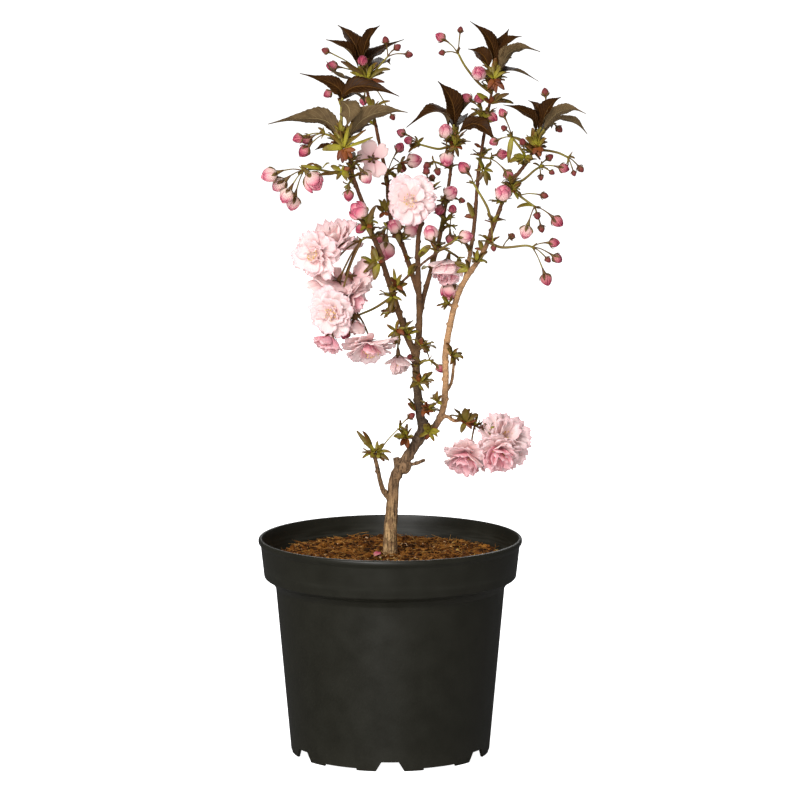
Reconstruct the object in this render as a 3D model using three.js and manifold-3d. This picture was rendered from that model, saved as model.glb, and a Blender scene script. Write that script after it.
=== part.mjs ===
// A cherry tree in flower, grown on as a bonsai in a round nursery pot.
// Millimetres, +Z up. The origin is on the pot's axis, in the plane that the pot stands on,
// and -Y is the side that the tree faces.
import * as THREE from "three";
import { mergeVertices } from "three/addons/utils/BufferGeometryUtils.js";
import Module from "manifold-3d";

const wasm = await Module();
wasm.setup();

// ---- Driving dimensions ----

const seatGap = 0.35; // clearance between two pieces that touch
// Details smaller than this are closed up after a join or a cut.
const potDetail = 0.05;
const plantDetail = 0.2;
const woodSpacing = 30; // between the rings of a woody shoot

const pot = {
  rimRadius: 115,
  collarTopRadius: 113,
  collarFootRadius: 110,
  bodyTopRadius: 100,
  bodyFootRadius: 87,
  height: 189,
  rimFoot: 185,
  collarTop: 182,
  collarFoot: 155,
  bodyTop: 146,
  wall: 2,
  plateUnderside: 8.2, // the floor stands clear of the ground inside the skirt
  padRadius: 28, // the middle of the floor drops to the ground
  segments: 28,
  notches: 6,
  notchHeight: 8.4,
  notchFootHalf: 13,
  notchTopHalf: 7.5,
  recessHeight: 2,
  recessHalf: 16,
  drainRadius: 77,
  drainLength: 12,
  drainWidth: 9,
  shoulderWidth: 3.5, // from the body out to the collar's slope
  outerShoulderRise: 5,
  innerShoulderRise: 7,
  lipBevel: 1.6,
  lipDrop: 1.2,
  skirtRelief: 0.4, // the skirt is that much thicker than the wall
  draft: 3, // the slant of the pad's side
};

const soilLevel = 173;
const soilEdgeLevel = 165; // where the soil meets the wall
const soilMoundRadius = 98;
const soilCrownRadius = 50;

const blossom = { petalThickness: 1, calyxLength: 6, calyxRadius: 2.8 };
const leaf = { thickness: 0.9, rows: 5, fold: 0.6, tilt: 0.5 };
const bract = { width: 5, thickness: 0.9 };
const spurRadii = [1.6, 1.4];
const stemRadii = [1.3, 1.1];
const youngShootRadii = [1.5, 1.3];
const stalkRadius = 0.8;
const leafHub = { radius: 3.2, length: 8 };

// Buds: stations from foot to tip, as shares of the bud's diameter.
const largeBudFrom = 10;
const largeBudShape = [[0, 0.16], [0.28, 0.43], [0.6, 0.5], [1.12, 0.16]];
const smallBudShape = [[0, 0.18], [0.55, 0.5], [1.12, 0.16]];

// ---- Layout: where each shoot, bud and bloom grows ----

// Woody shoots: points along each one, radii spread evenly from its foot to its tip.
const wood = {
  trunk: {
    points: [[0, 0, 112], [0, 0, 150], [0, 0, 191], [1, 0, 206], [2, 0, 222], [4, 0, 241], [12, 0, 255],
      [24, 0, 274], [28, 0, 285], [26, -1, 297], [23, -4, 325], [22, -6, 352]],
    radii: [4.6, 5.8, 6.2, 5.7, 5, 4.6, 4.4, 4.1, 3.9, 3.7, 3.5],
    sides: 7,
  },
  leftBough: {
    points: [[22, -6, 350], [13, -10, 370], [5, -18, 396], [-3, -26, 422], [-9, -31, 442], [-16, -36, 460],
      [-22, -40, 481], [-31, -46, 507], [-35, -50, 528], [-41, -52, 541]],
    radii: [3, 2.7, 2.5, 2.3, 2, 1.8, 1.5],
  },
  middle: {
    points: [[22, -6, 350], [25, -3, 369], [25, 1, 397], [24, 2, 423], [24, -2, 449], [27, -6, 465],
      [32, -9, 481], [35, -10, 493]],
    radii: [3, 2.8, 2.5, 2, 1.4],
  },
  backLeft: {
    points: [[24, 2, 403], [20, 6, 416], [11, 16, 441], [2, 26, 458], [-2, 36, 484], [-3, 42, 499],
      [-9, 50, 526], [-16, 57, 559], [-23, 60, 581]],
    radii: [2.4, 2.2, 2, 1.8, 1.5, 1.3],
  },
  midRight: {
    points: [[25, 0, 381], [29, 6, 399], [36, 14, 423], [42, 22, 445], [48, 28, 476], [52, 30, 503],
      [55, 32, 527]],
    radii: [2.4, 2.2, 2, 1.7, 1.3],
  },
  rightBough: {
    points: [[25, 0, 275], [35, -3, 282], [45, -9, 300], [48, -15, 327], [48, -20, 356], [56, -27, 398],
      [66, -32, 421], [79, -36, 441], [89, -38, 467], [101, -32, 497], [116, -24, 517], [122, -20, 527]],
    radii: [3.1, 3, 2.9, 2.8, 2.7, 2.5, 2.2, 2, 1.8, 1.5],
  },
  backRight: {
    points: [[64, -31, 418], [68, -18, 435], [73, 8, 464], [76, 34, 497], [81, 50, 531], [88, 56, 570],
      [90, 56, 582]],
    radii: [2.1, 1.9, 1.7, 1.5, 1.3],
  },
  lowTwig: { points: [[2, 0, 220], [-4, -4, 227], [-8, -8, 237], [-13, -14, 261]], radii: [1.8, 1.5, 1.3] },
  deadTwig: { points: [[47, -13, 317], [53, -6, 326], [55, -2, 340], [57, 0, 354]], radii: [1.7, 1.4, 1.2] },
  crossTwig: {
    points: [[3, -21, 409], [13, -24, 418], [26, -26, 430], [40, -26, 441]],
    radii: [1.4, 1.2, 1],
  },
  shortSpur: { points: [[14, 0, 252], [23, -6, 255], [29, -9, 258]], radii: [1.9, 1.5] },
  prunedStub: { points: [[7, 0, 247], [5, 2, 259]], radii: [3.4, 2.8] },
  lowSpur: { points: [[44, -8, 295], [49, -12, 297], [55, -16, 294], [63, -20, 295]], radii: [1.9, 1.5] },
};

// The wood is thickened where shoots part.
const knots = [[25, 0, 276, 5.2], [22, -6, 352, 4.4]];

// Short spurs with a few scales, grown in one with the wood.
const spurs = [
  { from: [-6, -29, 431], to: [-14, -35, 431], scales: [[-25, -38, 438], [-15, -40, 448], [-13, -38, 420]] },
  { from: [1, -22, 410], to: [5, -27, 410], scales: [[10, -30, 416]] },
  { from: [7, -16, 391], to: [1, -20, 389], scales: [[-1, -24, 401], [-5, -24, 384]] },
  { from: [16, -9, 366], to: [15, -16, 369], scales: [[10, -18, 375], [22, -18, 375]] },
  { from: [22, -6, 352], to: [29, -14, 359], scales: [[27, -18, 367], [34, -16, 354]] },
  { from: [23, -5, 325], to: [28, -12, 328], scales: [[32, -14, 335], [33, -14, 322]] },
  { from: [26, -2, 300], to: [34, -8, 302], scales: [[40, -10, 307]] },
  { from: [48, -20, 356], to: [53, -25, 352], scales: [[59, -28, 358], [56, -26, 343]] },
  { from: [47, -12, 310], to: [41, -18, 310], scales: [[34, -20, 314]] },
  { from: [55, -26, 394], to: [50, -30, 397], scales: [[44, -34, 403], [46, -32, 392]] },
  { from: [72, -34, 429], to: [74, -40, 435], scales: [[75, -43, 445], [83, -42, 434]] },
  { from: [-13, -14, 260], to: [-15, -16, 265], scales: [[-24, -18, 261], [-24, -20, 285], [-5, -22, 259]] },
  { from: [98, -34, 492], to: [104, -40, 496], scales: [[112, -40, 501], [109, -42, 488]] },
];

// Sprays: points of the stem from the wood to its fork, then buds as place and diameter.
// A side bud leaves the stem at one of its points, counted from the wood.
const sprays = {
  leftTip: {
    stem: [[-41, -52, 537], [-50, -56, 543], [-55, -58, 545]],
    buds: [[-70, -52, 540, 8.5], [-77, -66, 542, 8], [-72, -60, 531, 9.5]],
    bracts: [[-61, -56, 550]],
  },
  leftLong: {
    stem: [[-32, -47, 514], [-42, -52, 511], [-63, -56, 515], [-73, -58, 514]],
    buds: [[-101, -64, 511, 12], [-93, -52, 502, 12], [-87, -66, 494, 11.5], [-82, -54, 487, 11.5],
      [-65, -62, 506, 15]],
    bracts: [[-75, -54, 518], [-64, -60, 520]],
  },
  topLeft: {
    stem: [[88, 56, 572], [76, 52, 582], [65, 48, 596], [59, 46, 607]],
    buds: [[44, 44, 621, 8], [61, 50, 627, 5], [45, 40, 608, 5]],
    sideBuds: [{ fork: 1, bud: [77, 42, 590, 12] }],
  },
  rosette: {
    stem: [[84, 54, 552], [80, 48, 556]],
    buds: [[67, 46, 568, 8.5], [77, 40, 568, 8], [89, 44, 552, 8]],
    bracts: [[65, 44, 547], [82, 40, 546], [76, 52, 563]],
  },
  rightStar: {
    stem: [[114, -25, 515], [115, -27, 524], [104, -28, 540]],
    buds: [[96, -26, 560, 7], [97, -33, 548, 5], [89, -24, 536, 7]],
    sideBuds: [{ fork: 1, bud: [113, -33, 536, 6] }],
    bracts: [[101, -30, 518], [128, -32, 521]],
  },
  rightCrown: {
    stem: [[123, -20, 526], [128, -12, 536], [135, -4, 553]],
    buds: [[133, -2, 576, 7], [144, 0, 561, 6], [145, 0, 545, 6]],
  },
  rightArc: {
    stem: [[121, -20, 525], [130, -19, 528], [143, -18, 526], [152, -18, 522]],
    buds: [[163, -14, 512, 6], [157, -24, 509, 4.5]],
    bracts: [[158, -20, 521]],
  },
  rightFork: {
    stem: [[103, -31, 501], [113, -27, 503], [123, -24, 511], [128, -22, 514]],
    buds: [[136, -22, 522, 6], [148, -22, 513, 8], [138, -28, 510, 4.5], [129, -18, 505, 5]],
    bracts: [[122, -24, 517]],
  },
  rightDroop: {
    stem: [[101, -32, 498], [110, -38, 491], [123, -42, 482]],
    buds: [[142, -44, 470, 9.5], [125, -50, 475, 6], [129, -38, 463, 6], [116, -42, 461, 10.5]],
    sideBuds: [{ fork: 1, bud: [131, -38, 491, 6] }],
    bracts: [[108, -44, 481]],
  },
  rightBud: {
    stem: [[95, -36, 484], [95, -42, 487]],
    buds: [[96, -48, 494, 13]],
  },
  rightLow: {
    stem: [[84, -38, 451], [96, -42, 447], [115, -46, 449], [121, -48, 448]],
    buds: [[139, -52, 452, 8], [142, -44, 438, 8], [134, -54, 438, 5], [133, -48, 421, 9.5]],
    sideBuds: [{ fork: 1, bud: [104, -28, 455, 6] }],
  },
  rightNode: {
    stem: [[88, -38, 467], [85, -42, 474], [82, -44, 483], [71, -46, 502]],
    buds: [[63, -46, 515, 9.5]],
    sideBuds: [{ fork: 1, bud: [88, -54, 448, 5] }],
  },
  backRightFace: {
    stem: [[79, 45, 517], [87, 42, 516]],
    buds: [[97, 38, 520, 8.5], [103, 44, 502, 8.5]],
  },
  midNode: {
    stem: [[47, 26, 462], [52, 22, 459]],
    buds: [[52, 20, 448, 8], [54, 16, 474, 7]],
    bracts: [[44, 20, 454], [57, 26, 455]],
  },
  midHigh: {
    stem: [[48, 28, 476], [47, 22, 482]],
    buds: [[43, 16, 474, 8.5], [52, 18, 488, 11.5], [62, 24, 481, 5]],
  },
  midTip: {
    stem: [[55, 32, 525], [49, 26, 527], [41, 22, 526], [26, 18, 530]],
    buds: [[10, 20, 540, 7], [16, 12, 534, 7]],
    sideBuds: [{ fork: 1, bud: [48, 20, 541, 11.5] },
      { fork: 1, bud: [49, 16, 518, 11.5] }],
    bracts: [[16, 20, 523]],
  },
  midSide: {
    stem: [[53, 31, 508], [43, 24, 513], [38, 20, 515]],
    buds: [[41, 16, 507, 6], [32, 18, 512, 6]],
  },
  middleTip: {
    stem: [[35, -10, 492], [33, -12, 495]],
    buds: [[31, -18, 510, 6], [36, -4, 503, 6]],
    blooms: ["L"],
  },
  backLeftNode: {
    stem: [[-3, 42, 501], [-2, 38, 505]],
    buds: [[8, 32, 526, 8], [10, 44, 507, 7], [20, 30, 515, 12]],
    bracts: [[7, 36, 496], [-12, 40, 511]],
  },
  leftMauve: {
    stem: [[-33, -49, 522], [-30, -46, 519]],
    buds: [[-21, -46, 508, 10.5]],
    blooms: ["M"],
  },
  leftHang: {
    stem: [[-31, -46, 508], [-35, -52, 502]],
    buds: [[-35, -54, 493, 8.5]],
  },
  leftNode: {
    stem: [[-17, -36, 461], [-18, -45, 469]],
    buds: [[-26, -52, 479, 14], [-25, -50, 464, 8]],
    bracts: [[-14, -48, 478], [-10, -48, 468]],
  },
  backLeftHang: {
    stem: [[4, 24, 454], [-2, 20, 458]],
    buds: [[-8, 26, 449, 9.5], [-4, 14, 439, 14]],
  },
  backLeftPair: {
    stem: [[9, 18, 446], [10, 12, 450]],
    buds: [[4, 6, 460, 11.5], [18, 8, 457, 12], [26, 14, 461, 6]],
  },
  crossTip: {
    stem: [[40, -26, 441], [45, -27, 445], [56, -28, 452]],
    buds: [[64, -30, 455, 10.5]],
    sideBuds: [{ fork: 0, bud: [35, -32, 458, 12] }],
  },
  leftFive: {
    stem: [[-14, -34, 454], [-20, -37, 455], [-24, -38, 453]],
    blooms: ["A", "B", "C", "D", "C2"],
  },
  leftLow: {
    stem: [[3, -20, 403], [-13, -24, 393], [-27, -34, 388]],
    buds: [[-38, -44, 373, 8], [-33, -40, 394, 5]],
    blooms: ["E", "F", "G", "F2"],
  },
  lowBell: {
    stem: [[12, -11, 373], [7, -14, 368]],
    buds: [[-5, -16, 361, 6]],
    bracts: [[-1, -18, 375], [3, -22, 358]],
    blooms: ["H"],
  },
  lowThree: {
    stem: [[62, -20, 295], [73, -24, 291]],
    bracts: [[65, -22, 302], [76, -26, 299]],
    blooms: ["I", "J", "K"],
  },
  stemArch: {
    stem: [[22, -5, 338], [27, -9, 344], [34, -11, 346]],
    buds: [[43, -12, 339, 7], [31, -12, 355, 5]],
    sideBuds: [{ fork: 1, bud: [17, -19, 350, 4.5] }],
  },
  midDroop: {
    stem: [[41, 21, 442], [50, 18, 438], [59, 16, 432]],
    buds: [[52, 10, 405, 14]],
    blooms: ["N"],
  },
  lowTip: {
    stem: [[-13, -14, 259], [-4, -17, 270], [8, -20, 286]],
    buds: [[18, -20, 298, 6]],
  },
};

// Blooms: where the calyx ends, the way the bloom faces, its width and its form.
const blooms = {
  A: { calyx: [-48, -44, 442], facing: [-0.75, -0.55, -0.2], width: 40, form: "full" },
  B: { calyx: [-36, -22, 441], facing: [-0.35, 0.45, 0.8], width: 40, form: "full" },
  C: { calyx: [-44, -34, 416], facing: [-0.45, 0.35, -0.82], width: 37, form: "full" },
  C2: { calyx: [-23, -14, 423], facing: [0.3, 0.85, -0.4], width: 33, form: "full" },
  D: { calyx: [-30, -40, 407], facing: [0.35, -0.25, -0.9], width: 30, form: "bell" },
  E: { calyx: [-48, -56, 392], facing: [-0.2, -0.95, 0.1], width: 40, form: "full" },
  F: { calyx: [-47, -52, 372], facing: [-0.3, -0.2, -0.93], width: 22, form: "bell" },
  F2: { calyx: [-29, -42, 384], facing: [-0.05, 0.1, -1], width: 15, form: "bell" },
  G: { calyx: [-22, -36, 366], facing: [0.05, -0.7, -0.7], width: 47, form: "full" },
  H: { calyx: [7, -15, 351], facing: [0.05, 0, -1], width: 25, form: "bell" },
  I: { calyx: [69, -28, 268], facing: [-0.35, 0.1, -0.93], width: 30, form: "bell" },
  J: { calyx: [93, -34, 274], facing: [0.1, -0.3, -0.95], width: 35, form: "bell" },
  K: { calyx: [98, -14, 280], facing: [0.55, 0.6, 0.2], width: 44, form: "full" },
  L: { calyx: [18, -22, 485], facing: [-0.05, -0.98, 0.1], width: 41, form: "full" },
  M: { calyx: [-15, -36, 522], facing: [0.1, 0.98, -0.05], width: 30, form: "full" },
  N: { calyx: [50, 2, 432], facing: [-0.1, -0.5, -0.85], width: 30, form: "bell" },
};

// Tufts of young leaves at the tips of the shoots.
const leafTufts = {
  backLeftTop: {
    hub: [-23, 60, 581],
    leaves: [
      { root: [-29, 56, 596], middle: [-38, 50, 610], tip: [-56, 44, 619], width: 10 },
      { root: [-26, 62, 595], middle: [-32, 66, 615], tip: [-46, 76, 630], width: 13 },
      { root: [-24, 60, 601], middle: [-20, 56, 618], tip: [-9, 48, 631], width: 11 },
      { root: [-21, 64, 595], middle: [-14, 72, 605], tip: [12, 86, 617], width: 10 },
      { root: [-32, 54, 584], middle: [-46, 44, 588], tip: [-55, 32, 601], width: 10 },
      { root: [-20, 66, 588], middle: [-8, 84, 597], tip: [0, 104, 594], width: 10 },
    ],
  },
  leftShoot: {
    hub: [-41, -53, 537],
    shoot: [[-41, -54, 550], [-41, -52, 568]],
    leaves: [
      { root: [-43, -52, 573], middle: [-46, -52, 585], tip: [-76, -58, 596], width: 11 },
      { root: [-40, -52, 576], middle: [-24, -56, 585], tip: [8, -64, 577], width: 11 },
      { root: [-40, -48, 574], middle: [-29, -36, 577], tip: [-20, -28, 566], width: 10 },
      { root: [-42, -58, 573], middle: [-34, -70, 566], tip: [-37, -76, 552], width: 12 },
    ],
  },
  leftTuft: {
    hub: [-41, -51, 534],
    leaves: [
      { root: [-47, -46, 544], middle: [-61, -45, 557], tip: [-103, -56, 553], width: 12 },
      { root: [-32, -56, 545], middle: [-15, -64, 562], tip: [15, -72, 564], width: 12 },
      { root: [-45, -46, 541], middle: [-49, -38, 549], tip: [-58, -24, 560], width: 9 },
      { root: [-50, -52, 531], middle: [-54, -54, 529], tip: [-60, -56, 528], width: 8 },
      { root: [-36, -44, 540], middle: [-27, -34, 547], tip: [-14, -22, 551], width: 9 },
    ],
  },
  backRightTop: {
    hub: [91, 56, 583],
    leaves: [
      { root: [89, 54, 599], middle: [87, 50, 617], tip: [69, 44, 635], width: 9 },
      { root: [92, 58, 599], middle: [97, 64, 613], tip: [104, 74, 627], width: 9 },
      { root: [95, 54, 598], middle: [101, 48, 615], tip: [114, 40, 622], width: 8 },
      { root: [97, 52, 594], middle: [107, 44, 610], tip: [130, 36, 609], width: 10 },
      { root: [84, 60, 594], middle: [81, 68, 604], tip: [68, 80, 609], width: 10 },
      { root: [97, 60, 585], middle: [107, 66, 591], tip: [130, 74, 581], width: 8 },
      { root: [93, 64, 592], middle: [99, 82, 599], tip: [107, 102, 600], width: 10 },
    ],
  },
  midTop: {
    hub: [55, 32, 529],
    leaves: [
      { root: [55, 28, 549], middle: [53, 22, 567], tip: [41, 14, 585], width: 13 },
      { root: [58, 36, 546], middle: [62, 42, 556], tip: [73, 54, 567], width: 11 },
      { root: [49, 30, 545], middle: [40, 24, 558], tip: [14, 14, 545], width: 12 },
      { root: [61, 28, 541], middle: [76, 22, 547], tip: [92, 12, 531], width: 10 },
      { root: [56, 40, 541], middle: [60, 62, 550], tip: [67, 86, 548], width: 11 },
    ],
  },
  rightTop: {
    hub: [123, -21, 529],
    leaves: [
      { root: [124, -24, 546], middle: [118, -28, 559], tip: [96, -36, 568], width: 9 },
      { root: [127, -22, 549], middle: [128, -18, 561], tip: [118, -10, 570], width: 8 },
      { root: [130, -26, 551], middle: [135, -32, 565], tip: [145, -42, 575], width: 10 },
      { root: [133, -28, 549], middle: [146, -34, 563], tip: [166, -44, 561], width: 10 },
      { root: [134, -22, 546], middle: [150, -18, 555], tip: [169, -10, 541], width: 10 },
      { root: [128, -14, 542], middle: [136, 6, 547], tip: [140, 30, 543], width: 10 },
    ],
  },
};

// ---- Geometry helpers ----

const up = new THREE.Vector3(0, 0, 1);
const front = new THREE.Vector3(0, -1, 0);

function vector(point) {
  return new THREE.Vector3(point[0], point[1], point[2]);
}

function seeded(seed) {
  let state = seed;
  return () => {
    state = (state * 1664525 + 1013904223) % 4294967296;
    return state / 4294967296;
  };
}

// The value at a share of the way along a list of values.
function spread(values, share) {
  const place = THREE.MathUtils.clamp(share, 0, 1) * (values.length - 1);
  const low = Math.min(Math.floor(place), values.length - 2);
  return THREE.MathUtils.lerp(values[low], values[low + 1], place - low);
}

// A closed geometry with each vertex moved by a formula, as a solid.
function bent(geometry, place) {
  const bare = new THREE.BufferGeometry();
  bare.setAttribute("position", geometry.getAttribute("position"));
  bare.setIndex(geometry.index);
  const merged = mergeVertices(bare, 1e-4);
  const position = merged.getAttribute("position");
  const point = new THREE.Vector3();
  for (let i = 0; i < position.count; i++) {
    point.fromBufferAttribute(position, i);
    position.setXYZ(i, ...place(point).toArray());
  }
  const corners = merged.index.array;
  const triangles = [];
  for (let i = 0; i < corners.length; i += 3) {
    const [a, b, c] = corners.slice(i, i + 3);
    if (a !== b && b !== c && c !== a) triangles.push(a, b, c);
  }
  const mesh = new wasm.Mesh({
    numProp: 3,
    vertProperties: Float32Array.from(position.array),
    triVerts: Uint32Array.from(triangles),
  });
  return new wasm.Manifold(mesh);
}

function join(solids) {
  return wasm.Manifold.union(solids);
}

// The largest body of a solid.
function mainBody(solid, detail) {
  const bodies = solid.asOriginal().simplify(detail).decompose();
  bodies.sort((a, b) => b.volume() - a.volume());
  return bodies[0];
}

// A round stem along a line. Each station is a share of the line and the radius there.
function stem(line, stations, sides, extra) {
  const tube = new THREE.CylinderGeometry(1, 1, 1, sides, stations.length - 1);
  let side = Math.abs(line.getTangentAt(0).z) < 0.8 ? up.clone() : new THREE.Vector3(1, 0, 0);
  const rings = stations.map(([share, radius], i) => {
    const along = line.getTangentAt(share);
    side = side.clone().addScaledVector(along, -side.dot(along)).normalize();
    const end = i === 0 ? -extra : i === stations.length - 1 ? extra : 0;
    const centre = line.getPointAt(share).addScaledVector(along, end);
    return { centre, side, across: along.clone().cross(side), radius: radius + extra };
  });
  return bent(tube, (p) => {
    const ring = rings[Math.round((p.y + 0.5) * (rings.length - 1))];
    return ring.centre
      .clone()
      .addScaledVector(ring.side, p.x * ring.radius)
      .addScaledVector(ring.across, -p.z * ring.radius);
  });
}

const stepsPerPart = 50; // for measuring a line from point to point

function smoothLine(points) {
  return new THREE.CatmullRomCurve3(points, false, "centripetal");
}

// A shoot with a ring at each of its points and its radii spread evenly.
function shoot(points, radii, sides, extra) {
  const line = smoothLine(points.map(vector));
  const parts = points.length - 1;
  const lengths = line.getLengths(parts * stepsPerPart);
  const stations = points.map((_, i) => {
    const share = lengths[i * stepsPerPart] / lengths[parts * stepsPerPart];
    return [share, spread(radii, share)];
  });
  return stem(line, stations, sides, extra);
}

// A woody shoot, with its rings evenly spaced.
function woodyShoot(points, radii, sides, extra) {
  const line = smoothLine(points.map(vector));
  const rows = Math.max(1, Math.round(line.getLength() / woodSpacing));
  const stations = [];
  for (let row = 0; row <= rows; row++) stations.push([row / rows, spread(radii, row / rows)]);
  return stem(line, stations, sides, extra);
}

// A thin slab of unit size, with both of its faces split along the same diagonals.
function slab(columns, rows) {
  const box = new THREE.BoxGeometry(1, 1, 1, columns, rows, 1);
  const back = box.groups[5];
  const corners = box.index.array;
  for (let i = back.start; i < back.start + back.count; i += 6) {
    const [a, b, d, , c] = corners.slice(i, i + 6);
    corners.set([a, b, c, a, c, d], i);
  }
  return box;
}

// A leaf or scale: a slab bent along an arc through three points. The outline gives its width
// row by row, and fold turns both halves towards the side it faces.
function blade({ root, middle, tip, across, width, thickness, columns, rows, outline, fold }) {
  const bow = middle.clone().multiplyScalar(2).addScaledVector(root, -0.5).addScaledVector(tip, -0.5);
  const rib = new THREE.QuadraticBezierCurve3(root, bow, tip);
  return bent(slab(columns, rows), (p) => {
    const share = p.y + 0.5;
    const along = rib.getTangent(share);
    const side = across.clone().addScaledVector(along, -across.dot(along)).normalize();
    const out = side.clone().cross(along);
    const reach = p.x * width * outline[Math.round(share * rows)];
    return rib
      .getPoint(share)
      .addScaledVector(side, reach * Math.cos(fold))
      .addScaledVector(out, Math.abs(reach) * Math.sin(fold) + p.z * thickness);
  });
}

const eggTaper = 0.22;

// An egg on an axis, its narrow end ahead.
function egg(centre, facing, radius, length, sides, rows) {
  const turn = new THREE.Quaternion().setFromUnitVectors(new THREE.Vector3(0, 1, 0), facing);
  return bent(new THREE.SphereGeometry(1, sides, rows), (p) => {
    const girth = radius * (1 - eggTaper * p.y);
    return new THREE.Vector3(p.x * girth, (p.y * length) / 2, p.z * girth).applyQuaternion(turn).add(centre);
  });
}

// A profile of radii and heights, turned round the vertical axis.
function turned(profile, lift) {
  const points = profile.map(([radius, height]) => new THREE.Vector2(radius, height));
  const lathe = new THREE.LatheGeometry(points, pot.segments).rotateX(Math.PI / 2);
  return bent(lathe, (p) => new THREE.Vector3(p.x, p.y, p.z + (lift ? lift(p) : 0)));
}

// ---- The pot ----

const bodyTopInner = pot.bodyTopRadius - pot.wall;
const bodyFootInner = pot.bodyFootRadius - pot.wall;
const collarFootInner = pot.collarFootRadius - pot.wall;
const collarTopInner = pot.collarTopRadius - pot.wall;
const plateTop = pot.plateUnderside + pot.wall;

const cutterDepth = 30; // well over the skirt's thickness

// A block with a given outline, laid across the skirt at a turn round the axis.
function skirtCutter(outline, angle) {
  const shape = new THREE.Shape(outline.map(([x, y]) => new THREE.Vector2(x, y)));
  const block = new THREE.ExtrudeGeometry(shape, { depth: cutterDepth, bevelEnabled: false, steps: 1 });
  const outward = new THREE.Vector3(Math.cos(angle), Math.sin(angle), 0);
  const sideways = up.clone().cross(outward);
  const frame = new THREE.Matrix4().makeBasis(sideways, up, outward);
  frame.setPosition(outward.clone().multiplyScalar(pot.bodyFootRadius - cutterDepth / 2));
  return bent(block, (p) => p.clone().applyMatrix4(frame));
}

function makePot() {
  const outside = [
    [0, 0],
    [pot.padRadius, 0],
    [pot.padRadius + pot.draft, pot.plateUnderside],
    [bodyFootInner - pot.skirtRelief, pot.plateUnderside],
    [bodyFootInner - pot.skirtRelief, 0],
    [pot.bodyFootRadius, 0],
    [pot.bodyTopRadius, pot.bodyTop],
    [pot.bodyTopRadius + pot.shoulderWidth, pot.bodyTop + pot.outerShoulderRise],
    [pot.collarFootRadius, pot.collarFoot],
    [pot.collarTopRadius, pot.collarTop],
    [pot.rimRadius, pot.rimFoot],
    [pot.rimRadius, pot.height - pot.lipDrop],
    [pot.rimRadius - pot.lipBevel, pot.height],
  ];
  const inside = [
    [pot.rimRadius - 2 * pot.lipBevel, pot.height - pot.lipDrop / 3],
    [collarTopInner, pot.collarTop],
    [collarFootInner, pot.collarFoot],
    [bodyTopInner + pot.shoulderWidth, pot.bodyTop + pot.innerShoulderRise],
    [bodyTopInner, pot.bodyTop + 1],
    [bodyFootInner + 1, plateTop],
    [pot.padRadius + pot.draft - 1, plateTop],
    [pot.padRadius - 1, pot.wall],
    [0, pot.wall],
  ];
  const cuts = [];
  for (let i = 0; i < pot.notches; i++) {
    const angle = -Math.PI / 2 + (i * 2 * Math.PI) / pot.notches;
    const between = angle + Math.PI / pot.notches;
    const foot = pot.notchFootHalf;
    const top = pot.notchTopHalf;
    const high = pot.notchHeight;
    const wide = pot.recessHalf;
    const notch = [[-foot, -1], [foot, -1], [foot, 0], [top, high], [-top, high], [-foot, 0]];
    const recess = [[-wide, -1], [wide, -1], [wide, pot.recessHeight], [-wide, pot.recessHeight]];
    cuts.push(skirtCutter(notch, angle), skirtCutter(recess, between));
    const drain = new THREE.BoxGeometry(pot.drainLength, pot.drainWidth, 5 * pot.wall);
    const place = new THREE.Matrix4().makeRotationZ(angle);
    place.setPosition(pot.drainRadius * Math.cos(angle), pot.drainRadius * Math.sin(angle), plateTop - 1);
    cuts.push(bent(drain, (p) => p.clone().applyMatrix4(place)));
  }
  return turned([...outside, ...inside]).subtract(join(cuts));
}

// ---- The soil ----

// Lumps of bark and peat: a few crossing waves.
function soilLumps(p) {
  if (p.z < soilEdgeLevel - 1) return 0;
  const broad = 1.8 * Math.sin(p.x / 9 + 1) * Math.cos(p.y / 11);
  const fine = 1.3 * Math.sin((p.x + p.y) / 6) + 1.1 * Math.cos((p.x - 2 * p.y) / 8 + 2);
  const nearWall = THREE.MathUtils.smoothstep(Math.hypot(p.x, p.y), soilMoundRadius, soilMoundRadius + 10);
  return (broad + fine) * (1 - nearWall);
}

function makeSoil(tree) {
  const slopeGap = 1.5 * seatGap; // on the wall's slanting shoulder
  const profile = [
    [0, pot.wall + seatGap],
    [pot.padRadius - 1 - 2 * seatGap, pot.wall + seatGap],
    [pot.padRadius + pot.draft - 1 - seatGap, plateTop + seatGap],
    [bodyFootInner + 1 - 2 * seatGap, plateTop + seatGap],
    [bodyTopInner - seatGap, pot.bodyTop + 1 + seatGap],
    [bodyTopInner + pot.shoulderWidth - slopeGap, pot.bodyTop + pot.innerShoulderRise + slopeGap],
    [collarFootInner - slopeGap, pot.collarFoot + slopeGap],
    [collarFootInner + seatGap, soilEdgeLevel],
    [soilMoundRadius, soilLevel - 2],
    [soilCrownRadius, soilLevel],
    [0, soilLevel + 1],
  ];
  return turned(profile, soilLumps).subtract(tree);
}

// ---- The tree ----

const bractOutline = [0.4, 1, 0.22];
const archShare = 0.1; // how far scales and stalks arch up, as a share of their length

function bractBlade(root, tip, extra) {
  const along = tip.clone().sub(root);
  const facing = Math.abs(along.clone().normalize().dot(front)) > 0.8 ? up : front;
  return blade({
    root,
    middle: root.clone().lerp(tip, 0.5).addScaledVector(up, archShare * along.length()),
    tip,
    across: along.clone().cross(facing),
    width: bract.width + 2 * extra,
    thickness: bract.thickness + 2 * extra,
    columns: 1,
    rows: bractOutline.length - 1,
    outline: bractOutline,
    fold: 0,
  });
}

function makeTree(extra) {
  const solids = [];
  for (const { points, radii, sides = 5 } of Object.values(wood)) {
    solids.push(woodyShoot(points, radii, sides, extra));
  }
  for (const knot of knots) {
    solids.push(egg(vector(knot), up, knot[3] + extra, 2.6 * (knot[3] + extra), 7, 4));
  }
  for (const { from, to, scales } of spurs) {
    solids.push(shoot([from, to], spurRadii, 4, extra));
    for (const scale of scales) solids.push(bractBlade(vector(to), vector(scale), extra));
  }
  return join(solids);
}

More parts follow.
